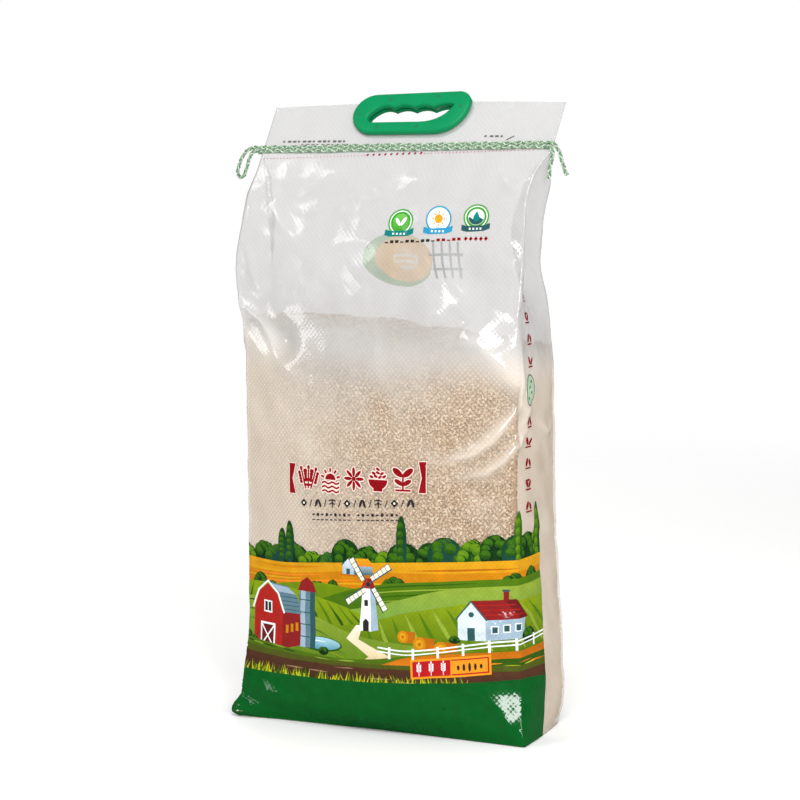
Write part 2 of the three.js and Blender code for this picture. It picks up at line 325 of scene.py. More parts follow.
def skinPoint(along, up):
    # the place on the bag's plain form, mm in the frame
    along, up = np.broadcast_arrays(np.asarray(along, float), np.asarray(up, float))
    height = np.minimum(up, bagTop)
    slope = bag["headerFoot"] + up - bagTop
    rise = np.clip(slope - bag["headerFoot"], 0, None) / (bag["headerTop"] - bag["headerFoot"])
    inHeader = up > bagTop
    half = bag["width"] / 2
    front, back = bag["frontY"] - smooth(frontOut, height), bag["backY"] + smooth(backOut, height)
    left = bag["headerLeft"] + bag["headerSpread"][0] * rise
    right = bag["headerRight"] + bag["headerSpread"][1] * rise
    pressed = np.clip(rise * 5, 0, 1)
    stack = bag["stackHalf"] * (1 - pressed) + bag["pressedHalf"] * pressed
    stack = np.where(rise > 0.999, 0, stack)
    xs = [-half - smooth(creaseOut["leftFront"], height), half + smooth(creaseOut["rightFront"], height),
          half + smooth(creaseOut["rightBack"], height), -half - smooth(creaseOut["leftBack"], height)]
    xs = [np.where(inHeader, edge, x) for x, edge in zip(xs, (left, right, right, left))]
    ys = [np.where(inHeader, edge, y)
          for y, edge in zip((front, front, back, back), (-stack, -stack, stack, stack))]
    starts = np.cumsum([0, bag["panel"], bag["gusset"], bag["panel"], bag["gusset"]])
    around = np.mod(along, bag["girth"])
    x, y = np.zeros(up.shape), np.zeros(up.shape)
    sides = [("front", (0, -1)), ("gusset", (1, 0)), ("back", (0, 1)), ("gusset", (-1, 0))]
    for k, (side, (nx, ny)) in enumerate(sides):
        here = (around >= starts[k]) & (around < starts[k + 1])
        s = np.clip((around - starts[k]) / (starts[k + 1] - starts[k]), 0, 1)
        bulge = np.where(inHeader, 0, smooth(bulges[side], height))
        power = np.where(bulge < 0, bag["sharpCrown"], bag["fullCrown"])
        push = bulge * (1 - np.abs(2 * s - 1) ** power)
        px, py = xs[k] + (xs[(k + 1) % 4] - xs[k]) * s, ys[k] + (ys[(k + 1) % 4] - ys[k]) * s
        fade = np.sin(math.pi * s) ** bag["foldFade"] * ~inHeader
        for start, finish, reach, depth in mainFolds.get(side, []):
            push = push - depth * np.exp(-(lineDistance(px, height, start, finish)[0] / reach) ** 2) * fade
        x, y = np.where(here, px + nx * push, x), np.where(here, py + ny * push, y)
    lean = math.radians(bag["leanDeg"])
    arch = slope + bag["headerArch"] * rise * (1 - (2 * (x - left) / (right - left) - 1) ** 2)
    y = np.where(inHeader, bag["seamY"] + y + arch * math.sin(lean), y)
    z = np.where(inHeader, bag["seamZ"] + arch * math.cos(lean), height)
    return np.stack([x + centreX, y + centreY, z], axis=-1)


def skinNormal(along, up, step=0.6):
    # outwards from the plain form, worked out from its neighbours a step away, all under the rim
    sideways = skinPoint(along + step, up) - skinPoint(along - step, up)
    top = bag["rim"] - 0.3
    upwards = skinPoint(along, np.minimum(up + step, top)) - skinPoint(along, np.minimum(up, top) - step)
    return unitRows(np.cross(sideways, upwards))


def softWaves(along, up, size, seed):
    # a sum of six long waves of about the given length, mostly between -1 and 1
    pick = random.Random(seed)
    total = np.zeros(np.shape(along))
    for _ in range(6):
        angle, phase, length = pick.uniform(0, math.pi), pick.uniform(0, 6.3), size * pick.uniform(0.7, 1.5)
        total += np.sin((along * math.cos(angle) + up * math.sin(angle)) * 2 * math.pi / length + phase)
    return total / 3


# sharp creases of the film: the places (along, up) that each runs through, its width and its height
# outwards, mm
creases = [
    ([(240, 385), (262, 374), (280, 360), (300, 342), (316, 330)], 16, 10.5),
    ([(262, 412), (288, 406), (308, 394)], 8, -1.6),
    ([(220, 262), (257, 272), (277, 285), (290, 301), (304, 320)], 6, 8.8),
    ([(236, 248), (272, 256), (287, 266), (298, 279), (314, 294)], 5.4, 7.6),
    ([(299, 322), (316, 313), (330, 311)], 5, 2.2), ([(300, 296), (313, 303), (326, 311)], 4, 1.8),
    ([(256, 247), (280, 249), (300, 247)], 8, 1.9), ([(260, 223), (280, 226), (299, 227)], 8, 1.7),
    ([(262, 200), (300, 204)], 9, 1.2), ([(196, 276), (228, 266)], 6, 1.2),
    ([(-10, 414), (8, 402), (24, 389), (36, 372), (46, 352)], 7, 4.2),
    ([(46, 352), (66, 340), (84, 337)], 7, 1.0), ([(-26, 398), (-6, 384), (6, 360)], 7, 1.8),
    ([(8, 470), (20, 440), (26, 420)], 7, 1.8), ([(26, 506), (40, 492), (56, 474)], 7, 2.4),
    ([(76, 537), (96, 533), (116, 529)], 8, 1.8), ([(30, 546), (40, 520)], 7, 1.4),
    ([(150, 534), (206, 524)], 9, 1.3), ([(150, 500), (210, 478)], 10, 1.4),
    ([(262, 540), (280, 520), (296, 512)], 6, 1.8), ([(283, 518), (300, 530)], 3.5, 1.4),
    ([(286, 476), (292, 430), (288, 404)], 8, 1.8), ([(240, 376), (262, 374), (284, 350)], 5, 1.6),
    ([(236, 103), (260, 99), (278, 103), (294, 116)], 4.5, 1.9),
    ([(252, 91), (278, 86), (304, 94)], 4.5, 1.9), ([(281, 121), (300, 117), (318, 120)], 5, 1.3),
    ([(236, 80), (290, 75)], 5, 1.0), ([(272, 132), (300, 140)], 6, 1.0),
    ([(236, 52), (264, 45), (281, 30), (291, 2)], 8.6, 4.0),
    ([(238, 112), (256, 106), (276, 108), (294, 122)], 4.4, 4.0),
    ([(262, 60), (282, 61), (299, 63)], 4, 1.4), ([(304, 60), (312, 30), (306, 6)], 8, 1.4),
    ([(-18, 9), (0, 6), (30, 3)], 6, 8.5), ([(-12, 25), (6, 18), (36, 13)], 5, -3.2),
    ([(0, 42), (16, 30), (40, 24)], 7, 1.8), ([(16, 50), (34, 28), (66, 20)], 8, 2.0),
    ([(66, 38), (104, 32)], 9, 1.2), ([(110, 14), (180, 9)], 6, 1.2), ([(180, 40), (222, 30)], 9, 1.0),
    ([(302, 160), (340, 130)], 7, 1.2), ([(304, 300), (350, 270)], 8, 1.4),
    ([(310, 210), (372, 190)], 8, 1.2), ([(340, 300), (366, 287), (384, 292)], 4, 2.0),
    ([(304, 420), (330, 452), (334, 500)], 8, 2.0), ([(384, 430), (352, 450), (334, 470)], 8, 1.6),
    ([(420, 420), (470, 440), (520, 470)], 9, 2.4), ([(600, 400), (640, 424), (668, 450)], 9, 2.4),
    ([(450, 200), (500, 210), (560, 232)], 9, 1.6), ([(430, 30), (500, 14)], 7, 1.6),
    ([(600, 20), (672, 40)], 7, 1.6), ([(430, 330), (480, 318), (540, 336)], 8, 1.8),
    ([(600, 300), (650, 280)], 8, 1.6), ([(712, 260), (760, 300)], 8, 1.6),
    ([(700, 90), (740, 120)], 8, 1.4),
]
fill = {
    "line": 392, "right": 366,                     # the rice's own top edge at the left and right, mm
    "uneven": 3, "unevenLength": 60,               # how far that edge waves, and over what length
    # how far below that edge the rice starts to press, and over what height, by place round the bag
    "loose": [(0, 20), (30, 26), (70, 46), (120, 52), (200, 34), (262, 10), (390, 10), (420, 30), (660, 30),
              (780, 20)],
    "soft": [(0, 12), (60, 18), (200, 16), (262, 9), (390, 9), (420, 14), (780, 12)],
}


def riceLine(along):
    # height of the rice behind the film
    along = np.asarray(along, float)
    turn = np.cos((np.mod(along, bag["girth"]) - 330) / bag["girth"] * 2 * math.pi)
    level = fill["line"] - (fill["line"] - fill["right"]) * (0.5 + 0.5 * turn)
    return level + fill["uneven"] * softWaves(along, 0 * along, fill["unevenLength"], 5)


# a crease's two flanks as shares of its width, how fast it thins out, and how sharp its crest is
creaseForm = {"gentle": 1.45, "steep": 0.75, "taper": 0.8, "crest": 1.5, "farthest": 4, "early": 60}


def foldRelief(around, up, points, wide, high):
    # a crease: gentle on its upper side and steep below, and lower towards both ends
    nearest, share, above = np.full(np.shape(up), 1e9), np.zeros(np.shape(up)), np.ones(np.shape(up))
    for k, (start, finish) in enumerate(zip(points, points[1:])):
        distance, t = lineDistance(around, up, start, finish)
        side = (finish[0] - start[0]) * (up - start[1]) - (finish[1] - start[1]) * (around - start[0])
        closer = distance < nearest
        nearest = np.where(closer, distance, nearest)
        share = np.where(closer, (k + t) / (len(points) - 1), share)
        above = np.where(closer, np.sign(side), above)
    reach = np.where(above > 0, creaseForm["gentle"] * wide, creaseForm["steep"] * wide)
    taper = np.sin(math.pi * np.clip(share, 0.04, 0.96)) ** creaseForm["taper"]
    return high * np.exp(-(nearest / reach) ** creaseForm["crest"]) * taper


def creaseRelief(along, up):
    # all creases together; those of the front start a little before its left edge
    around = np.mod(along + creaseForm["early"], bag["girth"]) - creaseForm["early"]
    out = np.zeros(np.shape(up))
    for points, wide, high in creases:
        xs, ys = zip(*points)
        reach = creaseForm["farthest"] * wide
        near = ((around > min(xs) - reach) & (around < max(xs) + reach)
                & (up > min(ys) - reach) & (up < max(ys) + reach))
        if near.any():
            out[near] += foldRelief(around[near], up[near], points, wide, high)
    return out


# soft unevenness of the film: how deep, over what length, and its own draw
wrinkles = {
    "slack": (1.3, 75, 3), "full": (0.5, 38, 9),   # waves over the empty and the filled part
    "longFolds": (0.8, 64, 33), "shortFolds": (0.4, 27, 21),
    "valley": 0.45,                                # where between a fold's crest and its foot the film lies
    "change": 14,                                  # sets how softly the full part turns slack, mm
    "topHold": 26, "baseHold": 18, "creaseHold": 20,      # mm over which seams and base keep it flat
}


def wrinkle(along, up):
    slack = 1 / (1 + np.exp(-(up - riceLine(along)) / wrinkles["change"]))
    nearTop = np.clip((bagTop - 4 - up) / wrinkles["topHold"], 0, 1)
    body = nearTop * np.clip((up - 2) / wrinkles["baseHold"], 0, 1)
    seen = np.mod(along, bag["girth"])

    def waves(kind):
        deep, length, seed = wrinkles[kind]
        return deep, softWaves(seen, up, length, seed)

    slackDeep, slackWaves = waves("slack")
    fullDeep, fullWaves = waves("full")
    out = body * (slack * slackDeep * slackWaves + (1 - slack) * fullDeep * fullWaves)
    for kind, always in (("longFolds", 0.35), ("shortFolds", 0.4)):
        deep, folds = waves(kind)
        out = out + body * (always + (1 - always) * slack) * deep * (wrinkles["valley"] - np.abs(folds))
    held = nearTop * np.clip((up + 8) / wrinkles["creaseHold"], 0, 1)
    return out + creaseRelief(along, up) * held ** 0.5


def filmPoint(along, up, out=0.0):
    along, up = np.broadcast_arrays(np.asarray(along, float), np.asarray(up, float))
    return skinPoint(along, up) + skinNormal(along, up) * (wrinkle(along, up) + out)[..., None]


def headerPoint(across, slope, out=0.0):
    # a place in the header's own plane: across, up its slope, and out towards the front
    lean = math.radians(bag["leanDeg"])
    across, slope, out = (np.asarray(v, float) for v in (across, slope, out))
    return np.stack(np.broadcast_arrays(
        across + centreX,
        bag["seamY"] + centreY + slope * math.sin(lean) - out * math.cos(lean),
        bag["seamZ"] + slope * math.cos(lean) + out * math.sin(lean)), axis=-1)


def addFilmMap(mesh, places):
    # keeps each corner's (along, up), in metres, for the weave and the ink
    corners = np.zeros(len(mesh.loops), int)
    mesh.loops.foreach_get("vertex_index", corners)
    mapped = (places[corners] * mm).astype(np.float32)
    mesh.uv_layers.new(name="film_map").data.foreach_set("uv", mapped.ravel())


def gridSurface(name, columns, rows, place, extras=None):
    # a grid of columns by rows, moved onto a surface
    build = bmesh.new()
    bmesh.ops.create_grid(build, x_segments=len(columns) - 1, y_segments=len(rows) - 1, size=1)
    flat = np.array([v.co[:2] for v in build.verts])
    i = np.rint((flat[:, 0] + 1) / 2 * (len(columns) - 1)).astype(int)
    j = np.rint((flat[:, 1] + 1) / 2 * (len(rows) - 1)).astype(int)
    along, up = np.asarray(columns, float)[i], np.asarray(rows, float)[j]
    mesh = meshFrom(build, name)
    mesh.vertices.foreach_set("co", (place(along, up) * mm).astype(np.float32).ravel())
    addFilmMap(mesh, np.stack([along, up], axis=1))
    for key, values in (extras or {}).items():
        layer = mesh.attributes.new(key, "FLOAT", "POINT")
        layer.data.foreach_set("value", values(along, up).astype(np.float32))
    return mesh


def mergeDoubles(mesh, distance=2e-5):
    build = bmesh.new()
    build.from_mesh(mesh)
    bmesh.ops.remove_doubles(build, verts=build.verts, dist=distance)
    build.to_mesh(mesh)
    build.free()
    mesh.update()


# weave: flat tapes of drawn polypropylene over and under each other, pressed smooth by the outer film

weave = {"tapeWide": 2.5, "tapeHigh": 2.65,    # mm
         "lumps": 0.35}                        # how much of its relief is uneven


def weaveHeight(tree):
    flat = addNode(tree, "ShaderNodeUVMap", {"uv_map": "film_map"}).outputs["UV"]
    parts = addNode(tree, "ShaderNodeSeparateXYZ", links={"Vector": flat})
    waves = []
    for axis, tape in (("X", weave["tapeWide"]), ("Y", weave["tapeHigh"])):
        turn = addNode(tree, "ShaderNodeMath", {"operation": "MULTIPLY", 1: math.pi / (tape * mm)},
                       {0: parts.outputs[axis]})
        waves.append(addNode(tree, "ShaderNodeMath", {"operation": "SINE"}, {0: turn.outputs[0]}))
    cross = addNode(tree, "ShaderNodeMath", {"operation": "MULTIPLY"},
                    {0: waves[0].outputs[0], 1: waves[1].outputs[0]})
    return cross.outputs[0], flat


def addWeaveBump(tree, shader, strength, depth):
    cross, flat = weaveHeight(tree)
    uneven = addNoise(tree, flat, 260.0, 3.0)
    total = addNode(tree, "ShaderNodeMath", {"operation": "MULTIPLY_ADD", 1: weave["lumps"]},
                    {0: uneven.outputs["Fac"], 2: cross})
    addBump(tree, shader, total.outputs[0], strength, depth)
    return cross


filmLook = {
    # the pressed film's warm colour is a painted glow of light that the rice sends back through it
    "colour": "#d4d3d2", "pressedGlowColour": "#f8ead9", "roughness": 0.13, "ior": 2.3,
    # how much of the film is seen rather than what is behind it, 0 to 1
    "slackCover": 0.53, "gussetCover": 0.6,
    "fullCover": [(0, 0.6), (60, 0.56), (120, 0.34), (200, 0.17), (300, 0.05), (390, 0.14), (780, 0.4)],
    "milkyRim": (0.22, 10, 26),                    # haze at the rice's edge: how much, mm below it, mm deep
    # and how much more where a tape lies on top, by place round the bag where the bag is full
    "slackTape": 0.035,
    "fullTape": [(0, 0.16), (120, 0.22), (200, 0.28), (292, 0.28), (302, 0.07), (388, 0.07), (402, 0.25),
                 (680, 0.3), (700, 0.14), (770, 0.14), (780, 0.2)],
    "streaks": 0.07,                               # uneven clearness of the slack film
    "weaveStrength": 0.2, "weaveDepth": 0.14,
    "shoulder": (0.05, 325, 40),                   # haze where the fill rounds over: how much, mm up, mm deep
    # how much more of the film shows on a crease, less of its tapes, and from what height of crease
    "creaseCover": 0.6, "creaseTape": 0.7, "creaseHigh": 7,
    "underPrint": 0.4,                             # mm that the film lies under its own print
    "columnSteps": (2.1, 2.4, 3.6, 3.6),           # mm between the mesh's columns on each side of the bag
}


def filmMaterial():
    # clear woven polypropylene laminated with a glossy outer film: milky where it hangs slack, nearly
    # clear where the rice presses on it, and it sparkles at each crossing of the tapes
    material, tree, shader = newMaterial("laminated_woven_film", {
        "Roughness": filmLook["roughness"], "IOR": filmLook["ior"]})
    full = addNode(tree, "ShaderNodeAttribute", {"attribute_name": "full"})
    # painted light: where the rice presses, the film turns to a warm glow of light sent back by the rice
    addTint(tree, shader, linear(filmLook["colour"]), linear(filmLook["pressedGlowColour"]), full.outputs["Fac"])
    cross = addWeaveBump(tree, shader, filmLook["weaveStrength"], filmLook["weaveDepth"])
    onTop = addNode(tree, "ShaderNodeMath", {"operation": "MAXIMUM", 1: 0.0}, {0: cross})
    cover = addNode(tree, "ShaderNodeAttribute", {"attribute_name": "cover"})
    tape = addNode(tree, "ShaderNodeAttribute", {"attribute_name": "tape"})
    seen = addNode(tree, "ShaderNodeMath", {"operation": "MULTIPLY_ADD"}, {
        0: onTop.outputs[0], 1: tape.outputs["Fac"], 2: cover.outputs["Fac"]})
    tree.links.new(seen.outputs[0], shader.inputs["Alpha"])
    return material


opening = {
    "foot": 24.5, "cuspHeight": 40.3, "firstCusp": 26.4, "pitch": 20.4, "rise": 6, "cusps": 3,
    "cutGrowth": 1.08, "cutMiddle": (3.8, 34), "cutDepth": 20, "steps": 8,
}


def bend(start, pull, finish, steps):
    # a smooth bend from start to finish, without its first point
    a, b, c = (np.array(p, float) for p in (start, pull, finish))
    shares = np.linspace(0, 1, steps + 1)[1:]
    return [tuple((1 - t) ** 2 * a + 2 * t * (1 - t) * b + t * t * c) for t in shares]


def openingOutline():
    foot, high, steps = opening["foot"], opening["cuspHeight"], opening["steps"]
    outline = [(-33, foot), (14, foot)]
    outline += bend(outline[-1], (38, foot), (47.5, 43.5), steps)
    for i in range(opening["cusps"]):
        cusp = opening["firstCusp"] - i * opening["pitch"]
        crown = (cusp + opening["pitch"] / 2, high + opening["rise"])
        outline += bend(outline[-1], crown, (cusp, high), steps)
    outline += bend(outline[-1], (-24.6, high + opening["rise"]), (-34, 38.5), steps)
    outline += bend(outline[-1], (-41, 33), (-40, 28.5), steps)
    return outline + bend(outline[-1], (-39, foot), (-33, foot), steps)[:-1]


def headerPrism(name, outline, depth):
    build = bmesh.new()
    back = [build.verts.new(headerPoint(x, y, -depth / 2) * mm) for x, y in outline]
    face = build.faces.new(back)
    grown = bmesh.ops.extrude_face_region(build, geom=[face])
    shift = Vector(headerPoint(0, 0, depth) - headerPoint(0, 0, 0)) * mm
    raised = [v for v in grown["geom"] if isinstance(v, bmesh.types.BMVert)]
    bmesh.ops.translate(build, vec=shift, verts=raised)
    bmesh.ops.recalc_face_normals(build, faces=build.faces)
    return addObject(name, meshFrom(build, name), smooth=False)


def cut(thing, cutter):
    step = thing.modifiers.new("cut", "BOOLEAN")
    step.operation, step.solver, step.object = "DIFFERENCE", "EXACT", cutter
    mesh = bakedMesh(thing)
    thing.modifiers.clear()
    old, thing.data = thing.data, mesh
    bpy.data.meshes.remove(old)
    removeThing(cutter)


def aroundColumns(*steps):
    # places round the bag, with a spacing for each of its four sides
    edges = [0]
    for width, step in zip((bag["panel"], bag["gusset"], bag["panel"], bag["gusset"]), steps):
        edges += list(np.linspace(edges[-1], edges[-1] + width, round(width / step) + 1)[1:])
    return np.array(edges)


printed = {
    "foot": 0.5, "frontTop": 228, "backTop": 225,  # the lower print's lower and upper edges, mm
    "treeTops": 150,                               # it hides all that is behind it lower than this
    "overGusset": 41, "backGap": 4,                # mm it runs onto the gussets, and its gap at the back
    "backMiddle": 0.692, "backHalf": 140,          # the back's middle as a share of the girth; mm each way
    "out": 0.25, "backSealOut": -0.6,              # how far the sheets lie outside the film
    "frontSpacing": 2.8, "backSpacing": 4.8, "spacing": 4, "sealSpacing": 5,
}


def underPrint(along, up):
    # 1 where the lower print hides the film
    around = np.mod(along + printed["overGusset"], bag["girth"]) - printed["overGusset"]
    side = np.clip((bag["panel"] + printed["overGusset"] - 3 - around) / 3, 0, 1)
    side = side * np.clip((around + printed["overGusset"] - 3) / 3, 0, 1)
    apart = np.abs(np.mod(along, bag["girth"]) - bag["girth"] * printed["backMiddle"])
    back = np.clip((printed["backHalf"] - apart) / 3, 0, 1)
    return np.maximum(side, back) * np.clip((printed["treeTops"] - up) / 4, 0, 1)


def addFilm():
    # rows from the middle of the base (-1) to its edge (0), round the bottom edge, up the body and the header
    rows = np.concatenate([np.linspace(-1, 0, 5)[:-1], np.linspace(0, 12, 9)[:-1],
                           np.linspace(12, bagTop, 236), np.linspace(bagTop, bag["rim"], 22)[1:]])
    middle = np.array([centreX, centreY, 0.2])

    def place(along, up):
        at = filmPoint(along, np.maximum(up, 0), -filmLook["underPrint"] * underPrint(along, up))
        at[:, 2] = np.maximum(at[:, 2], 0.0)
        share = np.clip(-up, 0, 1)[:, None]
        return at * (1 - share) + middle * share

    def pressed(along, up):
        # 1 where the rice presses on the film, fading to 0 over the last part below the rice's edge
        around = np.mod(along, bag["girth"])
        low = riceLine(along) - np.interp(around, *zip(*fill["loose"]))
        return 1 / (1 + np.exp((up - low) / np.interp(around, *zip(*fill["soft"]))))

    def creased(along, up):
        return np.clip(creaseRelief(along, up) / filmLook["creaseHigh"], 0, 1)

    def cover(along, up):
        around, full = np.mod(along, bag["girth"]), pressed(along, up)
        gusset = np.mod(around, bag["panel"] + bag["gusset"]) > bag["panel"]
        bare = np.where(gusset, filmLook["gussetCover"], np.interp(around, *zip(*filmLook["fullCover"])))
        most, below, deep = filmLook["milkyRim"]
        haze = most * np.exp(-((up - riceLine(along) + below) / deep) ** 2)
        most, level, deep = filmLook["shoulder"]
        haze = haze + most * np.exp(-((up - level) / deep) ** 2) * full * ~gusset
        streaks = softWaves(around, up * 0.35, 26, 61) * softWaves(around, up, 90, 62)
        return (filmLook["slackCover"] + (bare - filmLook["slackCover"]) * full + haze
                + filmLook["streaks"] * streaks
                + filmLook["creaseCover"] * creased(along, up) * (0.4 + 0.6 * full))

    def tape(along, up):
        more = np.interp(np.mod(along, bag["girth"]), *zip(*filmLook["fullTape"])) - filmLook["slackTape"]
        smoothed = 1 - filmLook["creaseTape"] * creased(along, up)
        return filmLook["slackTape"] + more * pressed(along, up) * smoothed

    mesh = gridSurface("film", aroundColumns(*filmLook["columnSteps"]), rows, place,
                       {"cover": cover, "tape": tape, "full": pressed})
    mergeDoubles(mesh)
    film = addObject("bag_film", mesh, filmMaterial())
    grown = np.array(openingOutline()) - opening["cutMiddle"]
    grown = grown * opening["cutGrowth"] + opening["cutMiddle"]
    cut(film, headerPrism("film_cut", grown, opening["cutDepth"]))
    film.data.shade_smooth()
    return dress(film, ["sack"])


film = addFilm()
print("film done:", len(film.data.polygons), "faces")


# the rice: polished short grain, pressed against the film, over a core that closes the gaps, darker as
# painted shade

rice = {
    "long": 4.5, "wide": 2.6, "thick": 2.1,      # one grain, mm
    "perGrain": 7.75,                             # mm2 of film for each grain
    "inset": 1.5, "coreInset": 2.3, "spread": 0.8,
    "foldGap": 2.8,                               # no grain lies nearer to a folded edge of the film
    "heapCrown": 4, "topRings": 14,
    "heapMark": 1000,                             # places over the heap are counted from here, to 1 past it
    "topGrains": 2600, "wallTilt": 0.12, "topTilt": 0.3,
    "tone": (0.55, 0.24), "coreShadeTone": 0.22,       # the grains' mean tone and its spread, 0 to 1; the core's darker tone is painted shade in the gaps
    "dark": "#94734f", "middle": "#c8a985", "pale": "#e9d8bd",
}


def riceMaterial():
    # polished rice: a dry satin starch surface, cream with a cool chalky core in some grains
    material, tree, shader = newMaterial("polished_rice", {
        "Roughness": 0.45, "Specular IOR Level": 0.4, "IOR": 1.5})
    tone = addNode(tree, "ShaderNodeAttribute", {"attribute_name": "tone"})
    ramp = addNode(tree, "ShaderNodeValToRGB", links={"Fac": tone.outputs["Fac"]})
    ramp.color_ramp.elements[0].color = linear(rice["dark"])
    ramp.color_ramp.elements[1].color = linear(rice["pale"])
    middle = ramp.color_ramp.elements.new(0.45)
    middle.color = linear(rice["middle"])
    place = addNode(tree, "ShaderNodeTexCoord").outputs["Object"]
    chalk = addNoise(tree, place, 420.0, 2.0)
    mix = addNode(tree, "ShaderNodeMix", {"data_type": "RGBA", "blend_type": "MULTIPLY", 0: 0.18},
                  {6: ramp.outputs["Color"], 7: chalk.outputs["Color"]})
    tree.links.new(mix.outputs[2], shader.inputs["Base Color"])
    addBump(tree, shader, chalk.outputs["Fac"], 0.3, 0.3)
    return material


riceFinish = riceMaterial()


def ricePoint(along, up):
    # a place on the rice's own surface, before its inset: up the film to the rice's edge, and past that
    # over the heap, from its rim (0) to its middle (1)
    edge = riceLine(along)
    share = np.clip(up - rice["heapMark"], 0, 1)
    onWall = up < rice["heapMark"]
    held = np.where(onWall, np.minimum(up, edge), edge)
    at = skinPoint(along, held) + skinNormal(along, held) * np.minimum(wrinkle(along, held), 0.3)[..., None]
    middle = np.array([centreX + 4, centreY - 4, 0.0])
    flat = share[..., None]
    top = at * (1 - flat) + middle * flat
    crown = edge * (1 - share) + (fill["line"] - 6) * share
    waves = 2.5 * softWaves(top[..., 0], top[..., 1], 55, 8)
    top[..., 2] = crown + (rice["heapCrown"] + waves) * np.sin(share * math.pi / 2) ** 0.7
    return np.where(onWall[..., None], at, top)


def addRiceCore():
    rows = np.concatenate([np.linspace(-1, 0, 3)[:-1], np.linspace(4, 330, 90), np.linspace(334, 420, 30),
                           rice["heapMark"] + np.linspace(0, 1, rice["topRings"] + 1)[1:]])

    def place(along, up):
        onWall = up < rice["heapMark"]
        body = np.clip(up, 4, rice["heapMark"] - 1)
        limit = np.where(onWall, np.minimum(body, riceLine(along)), riceLine(along))
        at = ricePoint(along, np.where(onWall, body, up))
        rough = rice["coreInset"] + 0.5 * softWaves(along, limit, 7, 2)
        inward = skinNormal(along, limit) * rough[..., None]
        at = at - inward * np.clip(1 - (up - rice["heapMark"]) * 3, 0, 1)[..., None]
        at[:, 2] = np.where(onWall, at[:, 2], at[:, 2] - 1.2)
        share = np.clip(-up, 0, 1)[:, None]
        at[:, 2] = np.maximum(at[:, 2], 3)
        return at * (1 - share) + np.array([centreX, centreY, 3.0]) * share

    # the core is painted darker than the grains, as shade in the gaps between them
    mesh = gridSurface("rice_core", aroundColumns(5, 5, 5, 5), rows, place,
                       {"tone": lambda along, up: rice["coreShadeTone"] + 0 * along})
    mergeDoubles(mesh, 1e-4)
    return dress(addObject("rice_core", mesh, riceFinish), ["sack"])


def grainShape():
    build = bmesh.new()
    bmesh.ops.create_icosphere(build, subdivisions=1, radius=0.5)
    bmesh.ops.scale(build, vec=(rice["long"], rice["wide"], rice["thick"]), verts=build.verts)
    points = np.array([v.co for v in build.verts])
    faces = np.array([[v.index for v in f.verts] for f in build.faces])
    build.free()
    return points, faces


def scatterGrains(name, places, normals, tilt, seed):
    # one joined mesh of grains that lie flat on a surface, each turned and sized its own way
    pick = np.random.default_rng(seed)
    count = len(places)
    points, faces = grainShape()
    helper = np.where(np.abs(normals[:, 2:]) > 0.8, [[1.0, 0, 0]], [[0, 0, 1.0]])
    side = unitRows(np.cross(helper, normals))
    rise = np.cross(normals, side)
    angle = pick.uniform(0, math.pi, count)[:, None]
    lengthwise = side * np.cos(angle) + rise * np.sin(angle)
    lengthwise = unitRows(lengthwise + normals * pick.normal(0, tilt, count)[:, None])
    crosswise = unitRows(np.cross(normals, lengthwise))
    outward = np.cross(lengthwise, crosswise)
    size = pick.uniform(0.86, 1.1, (count, 1, 1)) * np.stack(
        [pick.uniform(0.9, 1.08, count), pick.uniform(0.92, 1.08, count), np.ones(count)], axis=1)[:, None, :]
    shaped = points[None] * size
    world = (places[:, None] + shaped[..., :1] * lengthwise[:, None] + shaped[..., 1:2] * crosswise[:, None]
             + shaped[..., 2:] * outward[:, None]) * mm
    corners = (faces[None] + (np.arange(count) * len(points))[:, None, None]).reshape(-1, 3)
    mesh = bpy.data.meshes.new(name)
    mesh.vertices.add(count * len(points))
    mesh.vertices.foreach_set("co", world.astype(np.float32).ravel())
    mesh.loops.add(corners.size)
    mesh.loops.foreach_set("vertex_index", corners.ravel())
    mesh.polygons.add(len(corners))
    mesh.polygons.foreach_set("loop_start", np.arange(0, corners.size, 3))
    mesh.update(calc_edges=True)
    tone = np.repeat(np.clip(pick.normal(*rice["tone"], count), 0, 1), len(points))
    mesh.attributes.new("tone", "FLOAT", "POINT").data.foreach_set("value", tone.astype(np.float32))
    return dress(addObject(name, mesh, riceFinish), ["sack"])


def wallGrains(name, start, finish, low, seed):
    # grains behind the film, from one place round the bag to another, above the print
    pick = np.random.default_rng(seed)
    high = fill["line"] + 8
    count = int((finish - start) * (high - low) / rice["perGrain"])
    columns = max(1, round(math.sqrt(count * (finish - start) / (high - low))))
    levels = count // columns
    grid = np.stack(np.meshgrid(np.arange(columns), np.arange(levels), indexing="ij"), -1).reshape(-1, 2)
    grid = grid + pick.uniform(0, 1, grid.shape)
    along = start + grid[:, 0] / columns * (finish - start)
    up = low + grid[:, 1] / levels * (high - low)
    folds = [0, bag["panel"], bag["panel"] + bag["gusset"], bag["girth"] - bag["gusset"], bag["girth"]]
    apart = np.abs(np.mod(along, bag["girth"])[:, None] - folds).min(axis=1)
    kept = (up < riceLine(along) + 1) & (apart > rice["foldGap"])
    along, up = along[kept], up[kept]
    normals = skinNormal(along, up)
    inset = rice["inset"] + pick.uniform(0, rice["spread"], len(up))
    places = ricePoint(along, up) - normals * inset[:, None]
    return scatterGrains(name, places, normals, rice["wallTilt"], seed + 1)


